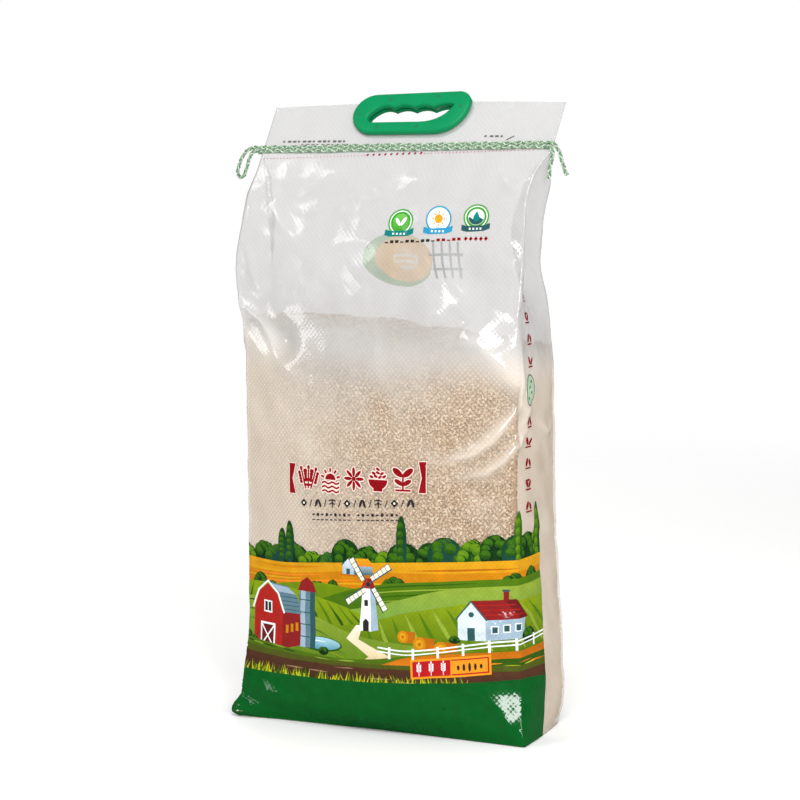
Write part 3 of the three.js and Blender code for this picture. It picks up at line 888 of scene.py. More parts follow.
def addRice():
    addRiceCore()
    panel, gusset, low = bag["panel"], bag["gusset"], printed["treeTops"]
    wallGrains("rice_front_left", -gusset / 2, panel / 2, low, 31)
    wallGrains("rice_front_right", panel / 2, panel + gusset / 2, low, 35)
    wallGrains("rice_back_right", panel + gusset, panel * 1.5 + gusset, low, 41)
    wallGrains("rice_back_left", panel * 1.5 + gusset, 2 * panel + gusset, low, 45)
    wallGrains("rice_right", panel + gusset / 2, panel + gusset, 6, 51)
    wallGrains("rice_left", 2 * panel + gusset, 2 * panel + 1.5 * gusset, 6, 61)
    # and over the heap, thinning out towards its middle
    pick, count = np.random.default_rng(71), rice["topGrains"]
    along = pick.uniform(0, bag["girth"], count)
    share = 0.03 + 0.97 * (1 - np.sqrt(pick.uniform(0, 1, count)))
    places = ricePoint(along, rice["heapMark"] + share)
    places[:, 2] += pick.uniform(-0.4, 0.8, count)
    scatterGrains("rice_top", places, np.tile([[0.0, 0.0, 1.0]], (count, 1)), rice["topTilt"], 72)


addRice()
print("rice done")


# the print: inks laid as flat fields on the film, each sheet cut where one colour meets the next

inks = {
    "base": "#00581d", "soil": "#2e1b14", "soilWarm": "#52321f", "soilGreen": "#4c5a12",
    "soilPale": "#94705a", "tuft": "#bcc011", "field": "#6c8a02", "fieldLime": "#849c06",
    "fieldDeep": "#2a5606", "fieldMid": "#4e7604", "fieldPale": "#8ca434", "fieldCool": "#45904a",
    "gold": "#c88000", "goldPale": "#d89c10", "goldDeep": "#b86400", "treeDark": "#062e0e",
    "treeMid": "#10400b", "treeLight": "#3a6a08", "treeCool": "#15443a", "treeLime": "#628c0a",
    "red": "#ae2018", "redDeep": "#8a1c1c", "redDark": "#6a1618", "orange": "#e8841a",
    "white": "#f1f5f6", "wall": "#d5e2ec", "wallShade": "#9fb6c8", "slate": "#5f7f8c",
    "slateDeep": "#2c5558", "black": "#2a2626", "markGrey": "#5f5b5a", "water": "#a8d4de",
    "waterDeep": "#4f93ad", "path": "#d9b77a", "label": "#b9141a", "labelOrange": "#f0961c",
    "title": "#8c0611", "titleRim": "#f4d9cf", "dots": "#b02342", "leaf": "#3f9a2a", "teal": "#0c7c78",
    "blue": "#2f93bb", "sun": "#f2a028", "cream": "#f6efd8", "beanPale": "#b4c8b2",
    "sealGreen": "#6fc050", "sealYellow": "#ffc233",
}


def inkMaterial():
    # gravure inks sealed under the outer film: full colour with a wet gloss that follows the tapes
    material, tree, shader = newMaterial("sealed_gravure_ink", {"Roughness": 0.13, "IOR": 1.6})
    cross = addWeaveBump(tree, shader, 0.3, 0.1)
    ink = addNode(tree, "ShaderNodeAttribute", {"attribute_name": "ink"})
    place = addNode(tree, "ShaderNodeUVMap", {"uv_map": "film_map"}).outputs["UV"]
    mottle = addNoise(tree, place, 90.0, 4.0)
    light = addNode(tree, "ShaderNodeMapRange", {
        "From Min": 0.3, "From Max": 0.7, "To Min": 0.9, "To Max": 1.08},
        {"Value": mottle.outputs["Fac"]})
    tapes = addNode(tree, "ShaderNodeMath", {"operation": "MULTIPLY_ADD", 1: 0.05},
                    {0: cross, 2: light.outputs["Result"]})
    mix = addNode(tree, "ShaderNodeVectorMath", {"operation": "SCALE"},
                  {0: ink.outputs["Color"], "Scale": tapes.outputs[0]})
    tree.links.new(mix.outputs[0], shader.inputs["Base Color"])
    return material


inkFinish = inkMaterial()


def oval(x, y, wide, high, steps=16, turn=0.0):
    ring = []
    for i in range(steps):
        a = 2 * math.pi * i / steps
        dx, dy = wide * math.cos(a), high * math.sin(a)
        ring.append((x + dx * math.cos(turn) - dy * math.sin(turn),
                     y + dx * math.sin(turn) + dy * math.cos(turn)))
    return ring


def oblong(left, low, right, high):
    return [(left, low), (right, low), (right, high), (left, high)]


def stroke(points, width, pointed=False):
    # a line of even width, or one that thins to a point at both ends
    line = np.array(points, float)
    side = np.gradient(line, axis=0)
    side = unitRows(np.stack([-side[:, 1], side[:, 0]], axis=1)) * width / 2
    if pointed:
        side = side * (0.1 + 0.9 * np.sin(math.pi * np.linspace(0, 1, len(line))) ** 0.7)[:, None]
    return [tuple(p) for p in line - side] + [tuple(p) for p in (line + side)[::-1]]


def moved(shapes, x, y):
    # shapes drawn about the origin, set down at a place on the sheet
    return [(ink, [(x + a, y + b) for a, b in outline], *lit) for ink, outline, *lit in shapes]


skylines = {
    # (share of the sheet, height), in mm over the base
    "gold": [(0, 162), (0.2, 158), (0.4, 164), (0.65, 170), (1, 175)],
    "goldFold": [(0, 146), (0.25, 149), (0.45, 157), (0.7, 160), (1, 164)],
    "farMeadow": [(0, 122), (0.15, 132), (0.34, 143), (0.55, 138), (1, 128)],
    "rightMeadow": [(0, 96), (0.28, 118), (0.5, 144), (0.72, 153), (1, 158)],
    "coolMeadow": [(0, 90), (0.5, 124), (0.72, 145), (1, 151)],
    "leftMeadow": [(0, 129), (0.2, 136), (0.42, 124), (0.6, 102), (1, 92)],
    "midMeadow": [(0, 84), (0.46, 106), (0.62, 122), (0.82, 134), (1, 136)],
    "lowMeadow": [(0, 112), (0.14, 120), (0.3, 114), (0.5, 94), (1, 84)],
    "verge": [(0, 80), (0.2, 76), (0.45, 72), (0.7, 84), (1, 92)],
    "stubble": [(0, 60), (0.5, 66), (0.62, 79), (0.8, 86), (1, 89)],
    "bank": [(0, 56), (0.52, 61), (0.66, 73), (0.84, 80), (1, 82)],
    "loam": [(0, 72), (0.22, 70), (0.5, 69), (0.75, 73), (1, 74)],
    "soil": [(0, 65), (0.22, 64), (0.5, 65), (0.75, 68), (1, 68)],
    "band": [(0, 46), (0.12, 46), (0.3, 48.5), (0.55, 52), (0.8, 58), (0.9, 60.5), (1, 57)],
}


def hill(span, skyline, floor):
    # the ground under a smooth skyline
    shares = np.linspace(-0.003, 1.003, 56)
    xs = span[0] + shares * (span[1] - span[0])
    crest = list(zip(xs, smooth(skylines[skyline], shares)))
    return crest[::-1] + [(xs[0], floor), (xs[-1], floor)]


def streak(span, skyline, drop, first, last, width):
    # a brush stroke that follows a skyline some way below it
    shares = np.linspace(first, last, 10)
    xs = span[0] + shares * (span[1] - span[0])
    return stroke(list(zip(xs, smooth(skylines[skyline], shares) - drop)), width, pointed=True)


def leafyTree(x, foot, wide, high, tones, seed):
    # a broad-leaved tree or bush: lobes of leaves, each dark below and lit from the upper left
    pick = random.Random(seed)
    dark, mid, light = tones
    shapes, lobes = [(dark, oval(x, foot + high * 0.4, wide * 0.46, high * 0.42, 18), mid)], []
    for k in range(8):
        a = math.pi * (k + pick.uniform(0.1, 0.9)) / 8
        reach = pick.uniform(0.15, 0.36) * wide
        lobes.append((x + reach * math.cos(a),
                      foot + high * (0.3 + 0.42 * math.sin(a) * pick.uniform(0.6, 1.0)),
                      pick.uniform(0.14, 0.21) * wide))
    for cx, cy, size in sorted(lobes, key=lambda lobe: -lobe[1]):
        tall = min(size, high * 0.3)
        shapes += [(dark, oval(cx, cy, size, tall, 12)),
                   (mid, oval(cx - size * 0.14, cy + tall * 0.2, size * 0.8, tall * 0.74, 11), light),
                   (light, oval(cx - size * 0.28, cy + tall * 0.44, size * 0.42, tall * 0.32, 8)),
                   (light, oval(cx + size * 0.3, cy + tall * 0.2, size * 0.16, tall * 0.14, 6))]
    return shapes


def poplar(x, foot, wide, high, tones):
    dark, mid, light = tones
    shapes = [(dark, oval(x, foot + high * 0.5, wide * 0.5, high * 0.5, 18), mid)]
    for k in range(5):
        y = foot + high * (0.2 + 0.15 * k)
        shapes += [(mid, oval(x - wide * 0.12, y, wide * 0.3, high * 0.085, 10), light),
                   (light, oval(x - wide * 0.22, y + high * 0.025, wide * 0.14, high * 0.03, 7))]
    return shapes


def ear(x, y, size, ink, turn=0.0, plump=1.0):
    # an ear of grain: a stem with pairs of kernels and one at its tip
    c, s = math.cos(turn), math.sin(turn)

    def at(dx, dy):
        return (x + dx * c - dy * s, y + dx * s + dy * c)

    shapes = [(ink, stroke([at(0, -size * 0.5), at(0, 0), at(0, size * 0.36)], size * 0.05 * plump))]
    for k in range(4):
        for hand in (-1, 1):
            kernel = at(hand * size * 0.115 * plump ** 0.6, size * (-0.12 + 0.14 * k))
            shapes.append((ink, oval(*kernel, size * 0.05 * plump, size * 0.1, 8, turn - hand * 0.5)))
    return shapes + [(ink, oval(*at(0, size * 0.46), size * 0.05 * plump, size * 0.11, 8, turn))]


greens = {"near": ("treeDark", "treeMid", "treeLight"), "far": ("treeCool", "treeMid", "treeLight"),
          "lime": ("treeMid", "treeLight", "treeLime")}


# the buildings stand on the origin, seen a little from their right

def barnShapes():
    # a red timber barn with a grey roof, and a grain store beside it
    shapes = [("slate", oblong(62, 6, 82, 62)), ("wallShade", oblong(64, 6, 70, 62)),
              ("slateDeep", oblong(76, 6, 82, 62))]
    shapes += [("slateDeep", oblong(62, y, 82, y + 1)) for y in range(16, 64, 12)]
    shapes += [("redDeep", [(60, 61), (84, 61), (80, 70), (72, 75), (64, 70)]),
               ("red", [(0, 0), (40, 0), (40, 38), (33, 54), (20, 63), (7, 54), (0, 38)]),
               ("redDeep", [(40, 0), (64, 7), (64, 38), (40, 38)]),
               ("slate", [(20, 65), (34, 55.5), (42, 37), (66, 38), (59, 54), (47, 63)]),
               ("wallShade", [(24, 63.5), (34, 56.5), (57, 56), (47, 62)])]
    for k in range(4):
        row = [(36 + 1.2 * k, 52 - 4 * k), (50, 52.4 - 4 * k), (60 + k, 52.6 - 4 * k)]
        shapes.append(("slateDeep", stroke(row, 0.7)))
    shapes.append(("white", stroke([(-2.5, 36), (6, 55), (20, 65.5), (34, 55), (42.5, 36)], 2.2)))
    shapes += [("redDeep", stroke([(x, 1), (x, 20), (x, 38)], 0.6)) for x in range(5, 40, 5)]
    shapes += [("white", oblong(10, 0, 30, 24)), ("redDark", oblong(12, 0, 28, 22)),
               ("white", stroke([(12, 0.6), (20, 11), (28, 21.4)], 1.5)),
               ("white", stroke([(28, 0.6), (20, 11), (12, 21.4)], 1.5)),
               ("white", oblong(14, 34, 26, 46)), ("black", oblong(15.5, 35.5, 24.5, 44.5)),
               ("white", oblong(19.4, 35.5, 20.6, 44.5))]
    for k in range(3):
        shapes.append(("gold", oblong(44.5 + 6.4 * k, 17 + 1.9 * k, 48 + 6.4 * k, 25 + 1.9 * k)))
    return shapes


def windmillShapes():
    # a white windmill with a red cap and four lattice sails
    shapes = [("white", [(-10, 0), (4, 0), (3, 42), (-6, 42)]),
              ("wallShade", [(3, 0), (11, 2), (6.5, 42), (2, 42)]),
              ("redDeep", [(-8, 41), (8.5, 41), (4, 51), (-3, 51)]),
              ("red", [(-8, 41), (1, 41), (-0.5, 51), (-3, 51)]),
              ("black", oblong(-4.5, 24, -0.5, 30)),
              ("black", [(-6, 0), (0.5, 0), (0.5, 9), (-2.8, 12), (-6, 9)])]
    for k in range(4):
        c, s = math.cos(math.radians(32 + 90 * k)), math.sin(math.radians(32 + 90 * k))

        def at(dx, dy):
            return (dx * c - dy * s, 45 + dx * s + dy * c)

        shapes += [("cream", [at(6, 0.4), at(30, 0.4), at(30, 6.4), at(6, 5)]),
                   ("slateDeep", stroke([at(0, 0), at(15, 0), at(31, 0)], 1.3))]
        shapes += [("slateDeep", stroke([at(run, 0.4), at(run, 3), at(run, 6.2)], 0.6))
                   for run in range(10, 35, 5)]
        shapes.append(("slateDeep", stroke([at(6, 5), at(18, 5.7), at(30, 6.4)], 0.6)))
    return shapes + [("black", oval(0, 45, 2, 2, 10))]


def cottageShapes():
    # a pale cottage with a dark red tiled roof and a chimney
    shapes = [("wallShade", [(26, 0), (64, 3), (64, 24), (26, 22)]),
              ("wall", [(0, 1), (26, 0), (26, 22), (13, 36), (0, 22)]),
              ("redDeep", [(12, 38), (27, 20), (68, 22), (55, 40)]),
              ("redDark", [(44, 39.5), (55, 40), (68, 22), (58, 21.5)])]
    for k in range(3):
        row = [(17 + 4 * k, 33.6 - 4.4 * k), (36 + 4 * k, 34.2 - 4.4 * k), (54 + 4 * k, 34.8 - 4.4 * k)]
        shapes.append(("red", stroke(row, 0.8)))
    shapes += [("slateDeep", stroke([(-2, 20), (12.5, 37.5), (27.5, 19.5)], 1.6)),
               ("redDeep", oblong(43, 38, 48, 48)), ("slateDeep", oblong(42, 47, 49, 49)),
               ("slateDeep", oblong(9, 0.5, 16, 13)), ("slateDeep", oval(12.8, 25, 2.6, 2.6, 10))]
    for k in range(3):
        shapes += [("white", oblong(31 + 11 * k, 7 + k, 38 + 11 * k, 15 + k)),
                   ("slateDeep", oblong(32 + 11 * k, 8 + k, 37 + 11 * k, 14 + k))]
    return shapes


def hutShapes():
    # a small barn with an orange roof, far off on the golden field
    return [("slateDeep", [(12, 0), (34, 1), (34, 10), (12, 10)], "wallShade"),
            ("wallShade", [(0, 0), (13, -0.4), (13, 9), (6.5, 15), (0, 9)], "wall"),
            ("orange", [(6, 15.6), (13, 8.4), (36, 9.4), (29, 16.6)], "goldPale"),
            ("slateDeep", stroke([(-1, 8.4), (6.4, 15.6), (13.6, 8)], 1.1)),
            ("slateDeep", oblong(4.4, 0, 8.6, 5.6)), ("goldDeep", oblong(-3, -1.4, 38, 0.2))]


def baleShapes(size):
    # a round bale of straw, end on
    side = [(0, -size * 0.5), (size, -size * 0.4), (size * 1.1, size * 0.42), (0, size * 0.5)]
    return [("goldDeep", side), ("gold", oval(0, 0, size * 0.48, size * 0.5, 14)),
            ("goldPale", oval(0, 0, size * 0.3, size * 0.32, 12)),
            ("goldDeep", oval(0, 0, size * 0.12, size * 0.13, 8))]


def farCountry(span, at, pick):
    # the wood on the skyline and the golden field before it
    shapes = []
    for k in range(19):
        share = k / 18
        high = 18 + 27 * share ** 1.2 + pick.uniform(-6, 6) + (8 if k % 5 == 3 else 0)
        tones = greens["lime"] if k % 4 == 2 else greens["far" if k % 3 == 1 else "near"]
        x = at(share) + pick.uniform(-3, 3)
        foot = 149 + 14 * share + 2 * math.sin(share * 9)
        shapes += leafyTree(x, foot, 28 + pick.uniform(0, 14), high, tones, 100 + k)
    for share, high in ((0.235, 34), (0.262, 42), (0.6, 52), (0.9, 56), (0.985, 60)):
        shapes += poplar(at(share), 156 + 9 * share, 11, high, greens["far" if share < 0.9 else "lime"])
    shapes.append(("goldDeep", hill(span, "gold", 60), "goldPale"))
    # ploughed lines on the gold: from where to where they start, their length, drop, width and two inks
    ploughed = ((0, 0.25, 0.4, 4, 2.4, "gold", "goldPale"), (0.4, 0.65, 0.33, 3, 2.0, "goldPale", "goldDeep"))
    for k in range(7):
        for early, late, longest, drop, wide, even, odd in ploughed:
            first = pick.uniform(early, late)
            last = first + pick.uniform(0.2, longest)
            shapes.append((odd if k % 2 else even, streak(span, "gold", drop + 5 * k, first, last, wide)))
    shapes.append(("goldDeep", hill(span, "goldFold", 60), "gold"))
    for k in range(8):
        first = pick.uniform(0, 0.6)
        last = first + pick.uniform(0.2, 0.38)
        shapes.append(("goldPale" if k % 2 else "orange",
                       streak(span, "goldFold", 2 + 3.2 * k, first, last, 1.8)))
    return shapes


def meadows(span, at):
    # green fields in folds, the nearer ones ploughed in strips that spread towards the viewer
    shapes = []
    for share, wide, high in ((0.015, 24, 20), (0.075, 20, 15), (0.155, 22, 22), (0.2, 16, 13),
                              (0.35, 22, 15), (0.4, 15, 18), (0.58, 30, 20), (0.64, 20, 14),
                              (0.885, 28, 19), (0.95, 22, 23)):
        shapes += leafyTree(at(share), 123 + 24 * share, wide, high, greens["near"], int(share * 1000))
    shapes += [("fieldDeep", hill(span, "farMeadow", 58), "field"),
               ("fieldDeep", hill(span, "rightMeadow", 58), "fieldMid")]
    for k in range(5):
        shapes.append(("fieldPale" if k % 2 else "fieldDeep",
                       streak(span, "rightMeadow", 3 + 4.5 * k, 0.42 + 0.03 * k, 0.8 + 0.04 * k, 1.3)))
    shapes += [("fieldCool", hill(span, "coolMeadow", 58), "fieldPale"),
               ("fieldMid", hill(span, "leftMeadow", 58), "fieldLime")]
    for k in range(14):
        top, spread = at(0.03 + 0.032 * k), (k - 5) * 7.5
        crest = float(smooth(skylines["leftMeadow"], 0.03 + 0.032 * k)) - 1.5
        strip = [(top, crest), (top + spread * 0.35, crest - 18), (top + spread, 66)]
        shapes.append(("fieldDeep" if k % 2 else "fieldMid", stroke(strip, 3.4, True)))
    shapes.append(("fieldDeep", hill(span, "midMeadow", 58), "fieldLime"))
    for k in range(13):
        top = at(0.5 + 0.036 * k)
        crest = float(smooth(skylines["midMeadow"], 0.5 + 0.036 * k)) - 1.5
        strip = [(top, crest), (top + 4 + 1.2 * k, crest - 16), (top + 12 + 3.4 * k, 78)]
        shapes.append(("fieldPale" if k % 2 else "fieldMid", stroke(strip, 4.4, True)))
    shapes.append(("fieldMid", hill(span, "lowMeadow", 58), "fieldPale"))
    for k in range(6):
        shapes.append(("fieldLime" if k % 2 else "fieldDeep",
                       streak(span, "lowMeadow", 4 + 4.6 * k, 0.02 + 0.02 * k, 0.36 + 0.02 * k, 1.6)))
    # a path down to the gate and a pond
    path = ((0.47, 106), (0.488, 106), (0.475, 92), (0.575, 76), (0.54, 60), (0.44, 60), (0.505, 76),
            (0.44, 92))
    glint = [(at(share), y) for share, y in ((0.325, 85.6), (0.35, 86.2), (0.38, 85.8))]
    return shapes + [("path", [(at(share), y) for share, y in path], "cream"),
                     ("fieldDeep", oval(at(0.36), 83.4, 26, 7.4, 22)),
                     ("waterDeep", oval(at(0.36), 84, 24, 6, 22), "water"),
                     ("white", stroke(glint, 1.1, True))]


def foreground(span, at, pick):
    # stubble, verge, fence, soil, tufts of grass and the base band
    shapes = [("soilGreen", hill(span, "verge", 40), "fieldMid"),
              ("orange", hill(span, "stubble", 46), "goldDeep"),
              ("soilGreen", hill(span, "bank", 40), "fieldDeep")]
    for k in range(22):
        share = 0.5 + 0.0225 * k + pick.uniform(0, 0.01)
        shapes.append((("tuft", "orange", "goldDeep")[k % 3],
                       streak(span, "bank", pick.uniform(1, 11), share, min(share + 0.05, 1), 1.3)))
    for k in range(12):
        share = 0.02 + 0.036 * k
        shapes.append(("fieldPale" if k % 2 else "treeMid",
                       streak(span, "verge", pick.uniform(1, 5), share, share + 0.05, 1.2)))
    rails = [(at(share), y, 0) for share, y in ((0.53, 80), (0.6, 78), (0.7, 82.5), (0.82, 89), (1.0, 94))]
    rails = smoothPath(rails, 6)[:, :2]
    shapes += [("white", stroke(rails + (0, 6.2), 1.5)), ("white", stroke(rails + (0, 2.6), 1.2))]
    shapes += [("white", oblong(x - 1.2, y - 3, x + 1.2, y + 8.4)) for x, y in rails[2::4]]
    shapes += [("soilWarm", hill(span, "loam", 30), "soilGreen"),
               ("soil", hill(span, "soil", 30), "soilWarm")]
    for k in range(16):
        share = pick.uniform(0, 0.94)
        shapes.append(("soilWarm" if k % 3 else "soilPale",
                       streak(span, "soil", pick.uniform(1, 13), share, share + 0.06, 1.4)))
    for k in range(int((span[1] - span[0]) * 0.66)):
        share = 0.03 + 0.74 * pick.random() ** 1.1
        x, y, high = at(share), 43 + 11 * share, pick.uniform(5, 13)
        blade = ("tuft", "fieldLime", "treeLight", "tuft", "soilGreen")[k % 5]
        shapes.append((blade, [(x - 1.1, y), (x + 1.1, y), (x + pick.uniform(-5, 5), y + high)]))
    return shapes + [("base", hill(span, "band", -4))]


def landscape(left, right, full):
    # fields and farm buildings over a soil strip and a plain base band; the back has no buildings
    span, pick = (left, right), random.Random(17)

    def at(share):
        return left + (right - left) * share

    def bushes(foot, *sizes):
        return sum((leafyTree(at(share), foot, wide, high, greens["near"], int(share * 777))
                    for share, wide, high in sizes), [])

    shapes = farCountry(span, at, pick)
    if full:
        shapes += moved(hutShapes(), at(0.43), 154)
    shapes += meadows(span, at)
    if full:
        shapes += moved(windmillShapes(), at(0.505), 101) + moved(cottageShapes(), at(0.745), 97)
        for share, y, size in ((0.6, 98, 12), (0.645, 92, 14), (0.7, 88, 15)):
            shapes += moved(baleShapes(size), at(share), y)
        shapes += bushes(94, (0.735, 12, 9), (0.93, 22, 17))
        shapes += moved(barnShapes(), at(0.13), 72)
        shapes += bushes(73, (0.1, 18, 15), (0.13, 12, 9), (0.372, 13, 10))
    return shapes + foreground(span, at, pick)


def divided(outline, longest):
    # the same outline with its long sides cut up, so that it can follow the film
    whole = []
    for (x0, y0), (x1, y1) in zip(outline, outline[1:] + outline[:1]):
        count = max(1, math.ceil(math.hypot(x1 - x0, y1 - y0) / longest))
        whole += [(x0 + (x1 - x0) * k / count, y0 + (y1 - y0) * k / count) for k in range(count)]
    return whole


def printedSheet(name, shapes, box, spacing, out=printed["out"]):
    # cuts a flat sheet along all outlines, gives each facet the ink of the topmost shape, and lays the sheet
    # on the film; box is (left, low, right, high)
    left, low, right, high = box
    flat, outlines = [], []
    for _, outline, *_ in shapes:
        area = sum(a[0] * b[1] - b[0] * a[1] for a, b in zip(outline, outline[1:] + outline[:1]))
        first = len(flat)
        flat += divided(outline if area > 0 else outline[::-1], 2 * spacing)
        outlines.append(list(range(first, len(flat))))
    edges = []
    lines = [[(left, low), (right, low)], [(left, high), (right, high)], [(left, low), (left, high)],
             [(right, low), (right, high)]]
    bends = [k for k in (0, bag["panel"], bag["panel"] + bag["gusset"], 2 * bag["panel"] + bag["gusset"])
             if left < k < right]
    lines += [[(k, low), (k, high)] for k in bends]
    for (x0, y0), (x1, y1) in lines:
        count = max(2, round(math.hypot(x1 - x0, y1 - y0) / spacing) + 1)
        first = len(flat)
        flat += list(zip(np.linspace(x0, x1, count), np.linspace(y0, y1, count)))
        edges += [(first + k, first + k + 1) for k in range(count - 1)]
    pick = random.Random(5)                 # an exact lattice makes the cutting fail
    xs = np.arange(left + spacing / 2, right, spacing)
    ys = np.arange(low + spacing / 2, high, spacing)
    shift = spacing / 5
    flat += [(x + pick.uniform(-shift, shift), y + pick.uniform(-shift, shift)) for x in xs for y in ys]
    cutUp = delaunay_2d_cdt([Vector(p) for p in flat], edges, outlines, 0, 1e-4, True)
    points, facets, origins = np.array([tuple(p) for p in cutUp[0]]), cutUp[2], cutUp[5]
    kept, colours, tints = [], [], []
    for ink, outline, *lit in shapes:
        # a shape with a second ink shades into it from its foot to its top
        foot, top = min(y for _, y in outline), max(y for _, y in outline)
        crest = (lit or [ink])[0]
        tints.append((np.array(linear(inks[ink])), np.array(linear(inks[crest])), max(foot, low), top))
    for facet, shown in zip(facets, origins):
        x, y = points[list(facet)].mean(axis=0)
        if shown and left < x < right and low < y < high:
            kept.append(facet)
            dark, lit, foot, top = tints[max(shown)]
            for corner in facet:
                share = min(max((points[corner][1] - foot) / (top - foot), 0), 1)
                colours.append(dark + (lit - dark) * share)
    mesh = bpy.data.meshes.new(name)
    places = filmPoint(points[:, 0], points[:, 1], out)
    places[:, 2] = np.maximum(places[:, 2], 0.1)
    mesh.from_pydata((places * mm).tolist(), [], kept)
    addFilmMap(mesh, points)
    mesh.color_attributes.new("ink", "FLOAT_COLOR", "CORNER").data.foreach_set(
        "color", np.array(colours, np.float32).ravel())
    build = bmesh.new()
    build.from_mesh(mesh)
    bmesh.ops.delete(build, geom=[v for v in build.verts if not v.link_faces], context="VERTS")
    build.to_mesh(mesh)
    build.free()
    return dress(addObject(name, mesh, inkFinish))


def grown(outline, reach):
    # the outline moved outwards by a rim's width
    line = np.array(outline, float)
    before, after = line - np.roll(line, 1, axis=0), np.roll(line, -1, axis=0) - line
    area = float(np.sum(line[:, 0] * np.roll(line[:, 1], -1) - np.roll(line[:, 0], -1) * line[:, 1]))
    way = unitRows(before) + unitRows(after)
    way = unitRows(np.stack([way[:, 1], -way[:, 0]], axis=1)) * math.copysign(reach, area)
    return [tuple(p) for p in line + way]


def titleMotif(kind, ink):
    # a bold ornament about 22 mm high, about the origin
    shapes = []
    if kind == "sheaf":
        for hand in (-1, 0, 1):
            shapes += ear(6.2 * hand, 1 - abs(hand), 21, ink, -0.32 * hand, 1.7)
        shapes.append((ink, oblong(-5, -7.4, 5, -5)))
    elif kind == "bowl":
        rim = [(10.5 * math.cos(a), -1 - 9.5 * math.sin(a)) for a in np.linspace(0, math.pi, 15)]
        shapes += [(ink, rim), (ink, oblong(-5, -12, 5, -9.4))]
        for x, y in ((-7, 1.6), (-2.4, 2.2), (2.4, 1.6), (7, 2.2), (-4.6, 5), (0, 5.6), (4.6, 5), (0, 9)):
            shapes.append((ink, oval(x, y, 2.5, 1.4, 10, 0.5 if x > 0 else -0.4)))
    elif kind == "sunrise":
        shapes.append((ink, [(6 * math.cos(a), -1 + 6 * math.sin(a)) for a in np.linspace(0, math.pi, 13)]))
        for k in range(5):
            c, s = math.cos(math.pi * (k + 0.5) / 5), math.sin(math.pi * (k + 0.5) / 5)
            shapes.append((ink, stroke([(out * c, -1 + out * s) for out in (7.6, 9.4, 11.4)], 2.2)))
        for drop in (4, 8, 12):
            wave = [(x, -drop + 0.9 * math.sin(x * 0.7)) for x in np.linspace(-10, 10, 13)]
            shapes.append((ink, stroke(wave, 1.8)))
    elif kind == "sprout":
        shapes.append((ink, stroke([(0, -11), (0, -3), (0.6, 4)], 2.0)))
        for hand in (-1, 1):
            shapes += [(ink, oval(5.4 * hand, 5.4, 6.4, 3.0, 16, 0.62 * hand)),
                       (ink, oval(4.2 * hand, -4, 5.2, 2.3, 14, 0.5 * hand))]
        shapes.append((ink, oblong(-8, -12.4, 8, -10.4)))
    else:
        for k in range(8):
            a = math.pi * k / 4
            shapes.append((ink, oval(6.6 * math.cos(a), 6.6 * math.sin(a), 4.6, 1.7, 12, a)))
        shapes.append((ink, oval(0, 0, 2.2, 2.2, 12)))
    return shapes


def titleShapes():
    # red brackets round five ornaments, over two rows of small dark ones; all rows rise to the right
    def rowAt(x, middle):
        return middle + (x - 137) * 8 / 150

    shapes = []
    for x, hand in ((60, 1), (214, -1)):
        bracket = [(0, -14.5), (7.6 * hand, -14.5), (4 * hand, 0), (7.6 * hand, 14.5), (0, 14.5)]
        shapes += moved([("title", bracket)], x, rowAt(x, 246))
    for k, kind in enumerate(("sheaf", "sunrise", "flower", "bowl", "sprout")):
        x = 84 + 26.6 * k
        shapes += moved(titleMotif(kind, "title"), x, rowAt(x, 246))
    shapes = [("titleRim", grown(outline, 1.1)) for _, outline in shapes] + shapes
    small = (
        [("black", [(-4, 0), (0, -4), (4, 0), (0, 4)]), ("cream", oval(0, 0, 1.2, 1.2, 8))],
        [("black", oval(1.9 * hand, 0, 1.3, 4.2, 12, 0.35 * hand)) for hand in (-1, 1)],
        [("black", stroke([(-4, 2.4), (0, 3.4), (4, 2.4)], 1.3)),
         ("black", stroke([(0, 3.4), (0, 0), (0, -4)], 1.3)),
         ("black", stroke([(-3.4, -1), (0, 0.4), (3.4, -1)], 1.1))],
    )
    slash = [("black", stroke([(7.4, -3), (8.6, 0.4), (9.8, 3.8)], 0.9))]
    for k in range(8):
        x = 78 + 17.2 * k
        shapes += moved(small[k % 3] + (slash if k < 7 else []), x, rowAt(x, 222.4))
    for k in range(18):
        x = 90 + 5.2 * (k % 9) + 52 * (k // 9)
        dash = [("black", oval(0, 0, 1.7, 0.8 + 0.9 * (k % 9 % 2), 8)),
                ("black", oblong(-1.6, -5.4, 1.8, -4.4))]
        shapes += moved(dash, x, rowAt(x, 211.4))
    return shapes


def labelShapes():
    # a small plate: grain ears on red, and plain bars on orange, in an orange frame
    shapes = [("labelOrange", [(196, 57.5), (274, 65.5), (274, 84.5), (196, 76.5)]),
              ("label", [(198, 59.6), (235.5, 63.4), (235.5, 78.4), (198, 74.6)]),
              ("label", [(236.5, 63.5), (272, 67.1), (272, 82.4), (236.5, 78.6)]),
              ("labelOrange", [(236.5, 64.9), (270.6, 68.3), (270.6, 81), (236.5, 77.4)])]
    for k in range(3):
        shapes += ear(204.5 + 12 * k, 67.6 + 1.2 * k, 13, "white")
    for k, high in enumerate((5, 7, 9, 7, 5)):
        shapes.append(("black", oval(243 + 5.4 * k, 71 + 0.55 * k, 1.3, high / 2, 10)))
    return shapes


